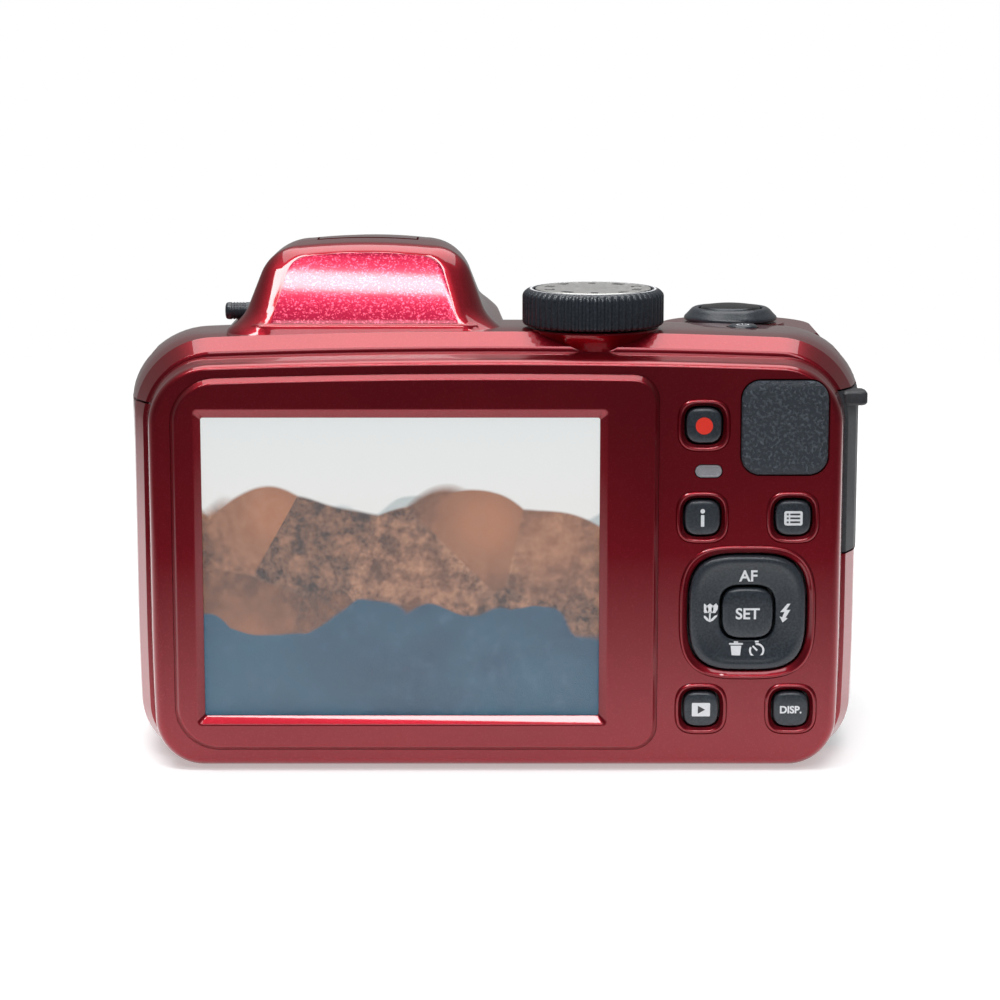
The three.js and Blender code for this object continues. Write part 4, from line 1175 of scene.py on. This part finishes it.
def make_top_cover(outer, cavity):
    cover = copy(outer, "top_cover_fine")
    boolean(cover, cavity, keep=True)
    within(cover, block("high_half", EVERY, EVERY, HIGH))
    collar = [(0, 65.4), (9.2, 65.4), (9.6, 67.4), (10.1, 68.5), (10.5, 69.1), (10.7, 69.4), (10.7, 69.6),
              (10.6, 69.7), (0, 69.7)]
    join(cover, along_z("collar", DIAL.x, DIAL.y, collar))
    join(cover, rod_z("platform", SHUTTER.x, SHUTTER.y, 9.2, (64.2, 67.2), 96))
    hump = hump_form("hump")
    cut(hump, flash_zone(GAP), *knuckle_room())
    join(cover, hump, hump_foot())
    hollow = hump_form("hollow", 3)
    both = copy(hollow, "both")
    within(hollow, block("hollow_zone", EVERY, EVERY, (60, FLASH_SEAM - 2)))
    cut(cover, hollow)
    boolean(both, cavity, "INTERSECT", keep=True)
    cut(cover, both)
    low, high = span("flash_release_button")
    hole = [(0, low.x - 10), (1.7, low.x - 10), (1.7, high.x + 1.5), (0, high.x + 1.5)]
    place = middle("flash_release_button")
    button = turned("button_hole", hole, (0, place.y, place.z), "X", 48)
    cut(
        cover,
        along_y("lens_recess", LENS.x, LENS.z, 33.8, (BODY_FRONT - 0.1, 60)),
        along_y("lens_hole", LENS.x, LENS.z, 31, (BODY_FRONT - 6, 60)),
        rod_z("dial_hole", DIAL.x, DIAL.y, 4.3, (50, 80)),
        rod_z("shutter_hole", SHUTTER.x, SHUTTER.y, 6.6, (50, 80)),
        rod_z("power_hole", POWER.x, POWER.y, 2.7, (50, 80)),
        rod_z("dial_recess", DIAL.x, DIAL.y, 12.0, (69.7, 80), 128),
        rod_z("shutter_recess", SHUTTER.x, SHUTTER.y, 9.7, (67.2, 80), 96),
        panel_slab("panel_pocket", 0.03, -2, 1.5),
        button,
        port_zone(),
        eyelet_zone(-1),
        eyelet_zone(1),
    )
    finish_piece(smooth(tidy(cover), angle=30), "red_paint", replaces=["top_cover"])


def grid_slab(name, rows, columns, front, back):
    """A slab between two grids of points, closed all round. front and back take shares from 0 to 1."""
    points = []
    for face in (front, back):
        for r in range(rows + 1):
            points += [face(c / columns, r / rows) for c in range(columns + 1)]
    width = columns + 1
    behind = width * (rows + 1)
    faces = []
    for r in range(rows):
        for c in range(columns):
            a = r * width + c
            faces.append((a, a + 1, a + 1 + width, a + width))
            faces.append((behind + a, behind + a + width, behind + a + 1 + width, behind + a + 1))
    border = list(range(width))
    border += [r * width + columns for r in range(1, rows + 1)]
    border += [rows * width + c for c in reversed(range(columns))]
    border += [r * width for r in reversed(range(1, rows))]
    for i, here in enumerate(border):
        there = border[(i + 1) % len(border)]
        faces.append((here, behind + here, behind + there, there))
    return outward(new_piece(name, points, faces))


def half_width_at(outline, z):
    """Half the width of a left-right symmetric outline at height z."""
    right = [point for point in outline[: len(outline) // 2 + 1] if point[0] > -1e-6]
    for (x0, z0), (x1, z1) in zip(right, right[1:]):
        if min(z0, z1) <= z <= max(z0, z1) and abs(z1 - z0) > 1e-9:
            return x0 + (x1 - x0) * (z - z0) / (z1 - z0)
    return right[-1][0]


def make_hump_panel():
    """The flake-painted rear panel of the hump: a barrel-shaped face whose edges roll over into the frame."""
    outline = hump_outline(*HUMP_PANEL[2:], inset=PANEL_INSET, spread=0)
    y, lean = HUMP_PANEL[0], HUMP_PANEL[1]
    low, high = DECK + 0.4, max(z for x, z in outline) - 0.01

    def place(u, v, lift):
        rise = 1 - (1 - v) ** 1.5
        z = low + (high - low) * rise
        half = half_width_at(outline, z)
        x = half * (2 * u - 1)
        return Vector((LENS.x + x, y + lean * (z - HUMP_FOOT) - lift(u, rise), z))

    def bulge(u, v):
        barrel = PANEL_BULGE * (1 - (2 * v - 1) ** 2)
        edge = min(u, 1 - u, v * 0.35, (1 - v) * 0.35) / 0.018
        return barrel - PANEL_ROLL * max(0.0, 1 - edge) ** 2

    made = grid_slab("hump_rear_panel_fine", 40, 90, lambda u, v: place(u, v, bulge),
                     lambda u, v: place(u, v, lambda a, b: -1.2))
    finish_piece(smooth(made, angle=50), "flake_paint", replaces=["hump_rear_panel"])


# ---------------------------------------------------------------- controls on top
def make_mode_dial():
    top = span("mode_dial")[1].z
    base = top - 5.8
    ribs = 60

    def ribbed(angle, radius, along):
        if radius < 10.5:
            return radius
        swing = math.cos(angle * ribs)
        depth = 0.34 * (1 if along < top - 0.7 else 0.55)
        return radius - depth * (0.5 - 0.5 * math.tanh(2.2 * swing) / math.tanh(2.2))

    profile = [
        (0, base), (10.7, base), (11.1, base + 0.08), (11.35, base + 0.35), (11.4, base + 0.6),
        (11.4, top - 1.1), (11.3, top - 0.75), (11.05, top - 0.45), (10.75, top - 0.2),
        (10.45, top - 0.06), (10.2, top), (9.75, top), (9.6, top - 0.08), (9.55, top - 0.5), (0, top - 0.5),
    ]
    made = turned("mode_dial_fine", profile, (DIAL.x, DIAL.y, 0), "Z", 720, ribbed)
    join(made, rod_z("dial_stem", DIAL.x, DIAL.y, 3.9, (62, base + 1)))
    finish_piece(smooth(made, angle=45), "black_plastic", "mode_dial", replaces=["mode_dial"])
    low, high = span("mode_dial_disc")
    disc = [
        (0, low.z), (9.3, low.z), (9.3, high.z - 0.08), (9.2, high.z), (8.9, high.z),
        (8.8, high.z - 0.06), (0, high.z - 0.06),
    ]
    plate = along_z("mode_dial_disc_fine", DIAL.x, DIAL.y, disc, 128)
    finish_piece(smooth(plate, angle=40), "dial_silver", "mode_dial", replaces=["mode_dial_disc"])
    under, over = top - 0.02, top + 0.03
    rim = [(9.85, under), (10.2, under), (10.2, over), (9.85, over), (9.85, under)]
    ring = along_z("mode_dial_ring", DIAL.x, DIAL.y, rim, 128)
    finish_piece(smooth(ring, angle=40), "white_print", "mode_dial")
    dial_marks(high.z - 0.05)


def flat_on_top(name, outlines, z, body, material="dark_print", thickness=0.03):
    """Printed shapes that face up: each outline is a closed list of (x, y) points."""
    points, faces = [], []
    for outline in outlines:
        start = len(points)
        count = len(outline)
        points += [(x, y, z) for x, y in outline]
        points += [(x, y, z + thickness) for x, y in outline]
        faces.append(tuple(start + i for i in reversed(range(count))))
        faces.append(tuple(start + count + i for i in range(count)))
        for i in range(count):
            n = (i + 1) % count
            faces.append((start + i, start + n, start + count + n, start + count + i))
    return finish_piece(outward(new_piece(name, points, faces)), material, body)


def dial_marks(z):
    """Ten plain marks round the dial: dots, bars, a frame, a hill, a crescent and the like."""
    marks = []
    for k in range(10):
        angle = -QUARTER + 2 * math.pi * k / 10
        across = Vector((-math.sin(angle), math.cos(angle)))
        out = Vector((math.cos(angle), math.sin(angle)))
        centre = Vector((DIAL.x, DIAL.y)) + out * 7.3

        def place(points, centre=centre, across=across, out=out):
            return [tuple(centre + across * -a + out * -b) for a, b in points]

        kind = k % 5
        if kind == 0:
            marks.append(place(circle(0, 0, 0.62, 20)))
        elif kind == 1:
            marks.append(place([(-1.0, -0.7), (-0.3, 0.5), (0.1, -0.1), (0.4, 0.3), (1.0, -0.7)]))
        elif kind == 2:
            marks += [place(rectangle(-0.9, 0.9, v - 0.12, v + 0.12)) for v in (-0.5, 0, 0.5)]
        elif kind == 3:
            marks.append(place(band(0.25, 0, 0.85, 0.5, math.radians(60), math.radians(300), 20)))
        else:
            marks.append(place(rectangle(-0.95, 0.95, -0.6, 0.6)))
    flat_on_top("dial_marks", marks, z, "mode_dial")


def make_shutter_and_zoom():
    x, y = SHUTTER.x, SHUTTER.y
    base = span("zoom_lever")[0].z
    foot = 67.5
    profile = [
        (5.4, base), (6.2, base), (6.2, foot), (7.7, foot), (7.85, foot + 0.1), (7.9, foot + 0.4),
        (7.8, foot + 0.62), (7.55, foot + 0.85), (6.9, foot + 1.55), (6.6, foot + 1.85),
        (6.25, foot + 2.05), (5.85, foot + 2.1), (5.5, foot + 2.0), (5.4, foot + 1.8), (5.4, base),
    ]
    ring = turned("zoom_lever_fine", profile, (x, y, 0), "Z", 144)
    tab_rings = []
    for lift, inset in ((0, 0.15), (0.2, 0), (0.7, 0), (1.0, 0.12), (1.15, 0.5), (1.2, 1.0)):
        corner = 1.2 - inset / 2
        outline = rounded(x - 2.2 + inset, x + 2.2 - inset, y + 6.0, y + 10.6 - inset, corner, steps=8)
        tab_rings.append([(a, b, foot + lift) for a, b in outline])
    join(ring, loft("tab", tab_rings))
    finish_piece(smooth(ring, angle=40), "black_plastic", "zoom_lever", replaces=["zoom_lever"])
    crown = span("shutter_button")[1].z
    dome = [
        (0, 60), (1.6, 60), (1.6, 66.2), (5.1, 66.2), (5.1, crown - 0.85),
        (5.02, crown - 0.68), (4.8, crown - 0.52),
    ]
    dome += [(4.6 * (1 - k / 10), crown - 0.42 * (1 - k / 10) ** 2) for k in range(11)]
    button = turned("shutter_button_fine", dome, (x, y, 0), "Z", 96)
    smooth(button, angle=40)
    finish_piece(button, "dark_metal", "shutter_button", replaces=["shutter_button"])
    low, high = span("power_button")
    power = [
        (0, low.z), (3.4, low.z), (3.4, low.z + 1), (2.4, low.z + 1), (2.4, high.z - 0.5),
        (2.33, high.z - 0.3), (2.15, high.z - 0.12), (1.85, high.z), (1.5, high.z - 0.08),
        (0, high.z - 0.1),
    ]
    made = turned("power_button_fine", power, (POWER.x, POWER.y, 0), "Z", 96)
    finish_piece(smooth(made, angle=40), "black_plastic", "power_button", replaces=["power_button"])
    ring = band(0, 0, 1.05, 0.85, math.radians(115), math.radians(425), 30)
    mark = [
        [(POWER.x + a, POWER.y + b) for a, b in ring],
        rectangle(POWER.x - 0.11, POWER.x + 0.11, POWER.y + 0.4, POWER.y + 1.3),
    ]
    flat_on_top("power_mark", mark, high.z - 0.09, "power_button", "white_print")


# ---------------------------------------------------------------- flash
def make_flash():
    head = within(hump_form("flash_head_fine"), flash_zone(0))
    window = front_box("flash_window")
    bay_y = (REAR + 54, 60)
    bay_x = (window[0] - GAP, window[1] + GAP)
    bay_z = (window[2] - GAP, window[3] + GAP)
    cut(head, block("flash_bay", bay_x, bay_y, bay_z))
    hollow = hump_form("flash_hollow", 3)
    within(hollow, block("zone", EVERY, (FLASH_BACK + 1.6, 3), (FLASH_SEAM - 1, ABOVE)))
    cut(head, hollow)
    x = (LENS.x - KNUCKLE, LENS.x + KNUCKLE)
    arm = block("arm", x, (FLASH_AXIS.y - 0.6, FLASH_BACK + 1.2), (FLASH_AXIS.z - 1.3, ABOVE))
    join(head, within(arm, hump_form("arm_form")))
    knuckle = [(0, x[0]), (1.4, x[0]), (1.4, x[1]), (0, x[1])]
    join(head, turned("knuckle", knuckle, (0, FLASH_AXIS.y, FLASH_AXIS.z), "X", 48))
    finish_piece(smooth(tidy(head), angle=30), "red_paint", "flash_head", replaces=["flash_head"])
    low, high = span("flash_window")
    glass = hump_form("flash_window_fine")
    within(glass, block("pane", (low.x, high.x), (low.y, FAR), (low.z, high.z)))
    y, z = (low.y - 1, low.y + 0.5), (low.z - 1, high.z + 1)
    grooves = []
    for k in range(11):
        centre_x = low.x + 1.4 + k * (high.x - low.x - 2.8) / 10
        grooves.append(block("groove", (centre_x - 0.35, centre_x + 0.35), y, z))
    cut(glass, *grooves)
    smooth(tidy(glass), angle=30)
    finish_piece(glass, "flash_glass", "flash_head", replaces=["flash_window"])
    low, high = span("flash_release_button")
    profile = [(0, low.x), (0.9, low.x), (1.2, low.x + 0.1), (1.36, low.x + 0.3), (1.4, low.x + 0.6)]
    for k in range(5):
        start = low.x + 1.0 + 0.5 * k
        profile += [(1.4, start), (1.3, start + 0.1), (1.3, start + 0.25), (1.4, start + 0.35)]
    profile += [(1.4, high.x), (0, high.x)]
    centre = middle("flash_release_button")
    button = turned("flash_release_button_fine", profile, (0, centre.y, centre.z), "X", 64)
    smooth(button, angle=40)
    finish_piece(button, "black_plastic", "flash_release_button", replaces=["flash_release_button"])


# ---------------------------------------------------------------- lens
def make_lens():
    start = span("lens_housing")[0].y + 8
    centre = (LENS.x, 0, LENS.z)

    def knurled(angle, radius, along):
        if start + 5.6 < along < start + 11.4 and radius > 30:
            return radius - 0.3 * (0.5 + 0.5 * math.cos(angle * 120))
        return radius

    housing = [
        (30.4, start - 8), (30.4, start), (33.1, start), (33.3, start + 0.2), (33.3, start + 4.7),
        (33.1, start + 5.0), (32.7, start + 5.2), (32.7, start + 5.7), (32.6, start + 5.9),
        (31.9, start + 11.1), (31.6, start + 11.4), (31.2, start + 11.7), (31.3, start + 12.2),
        (31.0, FRONT - 13.4), (30.6, FRONT - 12.4), (29.9, FRONT - 11.7), (29.2, FRONT - 11.5),
        (27.7, FRONT - 11.5), (27.7, start - 8), (30.4, start - 8),
    ]
    made = turned("lens_housing_fine", housing, centre, "Y", 480, knurled)
    finish_piece(smooth(made, angle=35), "lens_black", replaces=["lens_housing"])
    low = span("lens_barrel_outer")[0]
    outer = [(26, low.y), (26, FRONT - 11), (27.1, FRONT - 11), (27.3, FRONT - 10.8)]
    for k in range(6):
        groove = FRONT - 10.0 + 1.15 * k
        outer += [(27.3, groove), (27.0, groove + 0.15), (27.0, groove + 0.45), (27.3, groove + 0.6)]
    outer += [
        (27.3, FRONT - 2.5), (27.1, FRONT - 2.0), (26.5, FRONT - 1.6), (24.9, FRONT - 1.6),
        (24.7, FRONT - 1.8), (24.7, low.y), (26, low.y),
    ]
    made = turned("lens_barrel_outer_fine", outer, centre, "Y", 144)
    finish_piece(smooth(made, angle=35), "lens_black", "outer_barrel", replaces=["lens_barrel_outer"])
    low = span("lens_barrel_inner")[0]
    inner = [
        (24.4, low.y), (24.4, FRONT - 0.7), (24.2, FRONT - 0.25), (23.7, FRONT), (22.9, FRONT),
        (22.4, FRONT - 0.15),
    ]
    for k in range(5):
        inner += [(22.2 - 0.28 * k, FRONT - 0.5 - 0.5 * k), (22.2 - 0.28 * k - 0.2, FRONT - 0.55 - 0.5 * k)]
    inner += [(20.8, FRONT - 3.1), (20.8, FRONT - 4.5), (23.1, FRONT - 4.5), (23.1, low.y), (24.4, low.y)]
    made = turned("lens_barrel_inner_fine", inner, centre, "Y", 144)
    finish_piece(smooth(made, angle=35), "lens_black", "inner_barrel", replaces=["lens_barrel_inner"])
    dish = [(0, FRONT - 12), (22.7, FRONT - 9.5), (22.7, FRONT - 4.9), (20.6, FRONT - 4.9)]
    dish.append((20.4, FRONT - 4.8))
    for k in range(1, 25):
        angle = QUARTER * k / 24
        dish.append((20.4 * math.cos(angle), FRONT - 4.8 + 2.3 * math.sin(angle)))
    made = turned("front_lens_element_fine", dish, centre, "Y", 144)
    smooth(made, angle=35)
    finish_piece(made, "lens_glass", "inner_barrel", replaces=["front_lens_element"])


def make_bottom():
    bush = middle("tripod_bush")
    low, high = span("tripod_bush")
    profile = [
        (3.55, low.z), (6.35, low.z), (6.5, low.z + 0.15), (6.5, 3), (5.2, 3), (5.2, high.z),
        (0, high.z), (0, high.z - 0.8),
    ]
    wall = [(3.2 + (0.14 if k % 2 else 0), high.z - 0.8 - 0.3 * k) for k in range(11)]
    made = along_z("tripod_bush_fine", bush.x, bush.y, [*profile, *wall, (3.55, low.z)], 96)
    finish_piece(smooth(made, angle=35), "brass", replaces=["tripod_bush"])
    for i in range(4):
        name = f"case_screw_{i + 1}"
        place = middle(name)
        low, high = span(name)
        side = [(0, low.z), (1.35, low.z), (1.5, low.z + 0.1), (1.55, low.z + 0.25)]
        head = along_z(name + "_fine", place.x, place.y, [*side, (1.55, high.z), (0, high.z)], 48)
        for across, along in ((0.9, 0.2), (0.2, 0.9)):
            x = (place.x - across, place.x + across)
            y = (place.y - along, place.y + along)
            cut(head, block("slot", x, y, (low.z - 1, low.z + 0.3)))
        finish_piece(smooth(head, angle=35), "steel", replaces=[name])


def make_port_cover():
    """Rubber flap flush with the casing behind the rear cover, with a lug to pull it by."""
    low, high = span("port_cover")
    flap = casing_form("port_cover_fine")
    within(flap, block("flap_zone", (low.x, FAR), (low.y, high.y), (low.z, high.z)))
    cut(flap, casing_form("under_flap", 1.8))

    def level(z, inset):
        left, right = 55.3 + inset, high.x - inset
        outline = rounded(left, right, low.y + inset, low.y + 4.6 - inset, 1.3 - inset, 0.6, 8)
        return [(a, b, z) for a, b in outline]

    lug = loft("lug", [level(58.0, 0.5), level(58.12, 0.2), level(58.4, 0), level(high.z - 0.45, 0),
                       level(high.z - 0.15, 0.2), level(high.z, 0.55)])
    join(flap, lug)
    smooth(tidy(flap), angle=35)
    finish_piece(flap, "smooth_rubber", "port_cover", replaces=["port_cover"])


# ---------------------------------------------------------------- what the CAD already shows well enough
CARRIED = {
    "steel": ["screen_backing_plate", "strap_bar_left", "strap_bar_right", "flash_reflector", "zoom_motor",
              "memory_card_slot", "usb_socket", "battery_door_hinge"],
    "grey_plastic": ["pad_rocker_ring", "battery_pack"],
    "green_board": ["key_board", "main_board"],
    "lens_black": ["zoom_cam_ring", "aperture_shutter_unit", "lens_base_plate"],
    "lens_glass": ["zoom_lens_group", "focus_lens_group", "image_sensor"],
    "brass": ["zoom_pinion"],
    "black_plastic": ["battery_holder", "memory_card", "flash_capacitor", "battery_door"],
}


def dress_carried_nodes():
    for material, names in CARRIED.items():
        for name in names:
            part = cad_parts[name]
            for slot in part.material_slots:
                slot.material = MATERIALS[material]


# ---------------------------------------------------------------- stage
FLOOR_GLOW = 0.40
FLOOR_CENTRE = (0, 0.13, 0)
FLOOR_FADE = (0.20, 0.36)
ROOM_DARK = (0.075, 0.078, 0.085)
ROOM_LIGHT = (0.26, 0.255, 0.255)


def make_floor():
    """A pale round floor that fades out into the white sweep."""
    material, tree, principled = shader("studio_floor", (0.80, 0.80, 0.80), 0.8)
    tint = mixed(tree, noise(tree, 2, 2), (0.87, 0.87, 0.87), (0.88, 0.88, 0.88))
    tree.links.new(tint, principled.inputs["Base Color"])
    principled.inputs["Specular IOR Level"].default_value = 0.1
    principled.inputs["Emission Color"].default_value = (1, 1, 1, 1)
    principled.inputs["Emission Strength"].default_value = FLOOR_GLOW
    distance = node(tree, "ShaderNodeVectorMath", operation="DISTANCE")
    distance.inputs[1].default_value = FLOOR_CENTRE
    tree.links.new(object_coordinates(tree), distance.inputs[0])
    fade = mapped(tree, distance.outputs["Value"], FLOOR_FADE[0], FLOOR_FADE[1], 1.0, 0.0)
    tree.links.new(fade, principled.inputs["Alpha"])
    rim = []
    for k in range(96):
        angle = 2 * math.pi * k / 96
        out = Vector((math.cos(angle), math.sin(angle), 0))
        rim.append(tuple(Vector(FLOOR_CENTRE) + out * FLOOR_FADE[1]))
    mesh = bpy.data.meshes.new("floor")
    mesh.from_pydata(rim, [], [tuple(range(96))])
    floor = bpy.data.objects.new("floor", mesh)
    mesh.materials.append(material)
    bpy.context.scene.collection.objects.link(floor)


def area_light(name, place, target, width, height, power, colour=(1, 1, 1)):
    light = bpy.data.lights.new(name, "AREA")
    light.shape = "RECTANGLE"
    light.size = width
    light.size_y = height
    light.energy = power
    light.color = colour
    holder = bpy.data.objects.new(name, light)
    holder.location = place
    holder.rotation_euler = (Vector(target) - Vector(place)).to_track_quat("-Z", "Y").to_euler()
    bpy.context.scene.collection.objects.link(holder)


def make_world():
    """White sweep behind the object and a dark room on the user's side; the sky itself is seen as white."""
    world = bpy.data.worlds.new("studio")
    bpy.context.scene.world = world
    world.use_nodes = True
    tree = world.node_tree
    background = tree.nodes["Background"]
    direction = node(tree, "ShaderNodeSeparateXYZ")
    tree.links.new(node(tree, "ShaderNodeTexCoord").outputs["Generated"], direction.inputs["Vector"])
    behind = mapped(tree, direction.outputs["Y"], -0.25, 0.35, 0.0, 1.0)
    room = mixed(tree, behind, ROOM_DARK, ROOM_LIGHT)
    final = node(tree, "ShaderNodeMix", data_type="RGBA")
    final.inputs["B"].default_value = (1, 1, 1, 1)
    tree.links.new(node(tree, "ShaderNodeLightPath").outputs["Is Camera Ray"], final.inputs["Factor"])
    tree.links.new(room, final.inputs["A"])
    tree.links.new(final.outputs["Result"], background.inputs["Color"])


def make_camera():
    data = bpy.data.cameras.new("camera")
    data.lens = 107.9
    data.sensor_width = 36
    data.clip_start = 0.01
    view = bpy.data.objects.new("camera", data)
    view.location = (0.0007, -0.5135, 0.1277)
    view.rotation_euler = (math.radians(79.8), 0, 0)
    bpy.context.scene.collection.objects.link(view)
    bpy.context.scene.camera = view


def make_stage():
    bpy.context.scene.view_settings.view_transform = "Standard"
    make_floor()
    make_world()
    make_camera()
    area_light("overhead", (0.0, 0.27, 0.9), (0, 0.2, 0), 0.86, 0.72, 5.9)
    area_light("fill", (0.1, -0.9, 0.75), (0, 0, 0.04), 0.7, 0.4, 3.4, (0.93, 0.97, 1.0))
    area_light("strip", (-0.14, -0.325, 0.8), (0, 0, 0.07), 0.8, 0.08, 3.8)


make_rear_cover()
make_surrounds()
make_screen_frame()
make_display()
make_keys()
make_pad()
make_rear_trim()
outer_form, cavity_form = make_casing()
make_top_cover(outer_form, cavity_form)
remove(outer_form)
remove(cavity_form)
make_hump_panel()
make_mode_dial()
make_shutter_and_zoom()
make_flash()
make_lens()
make_bottom()
make_port_cover()
dress_carried_nodes()
make_stage()
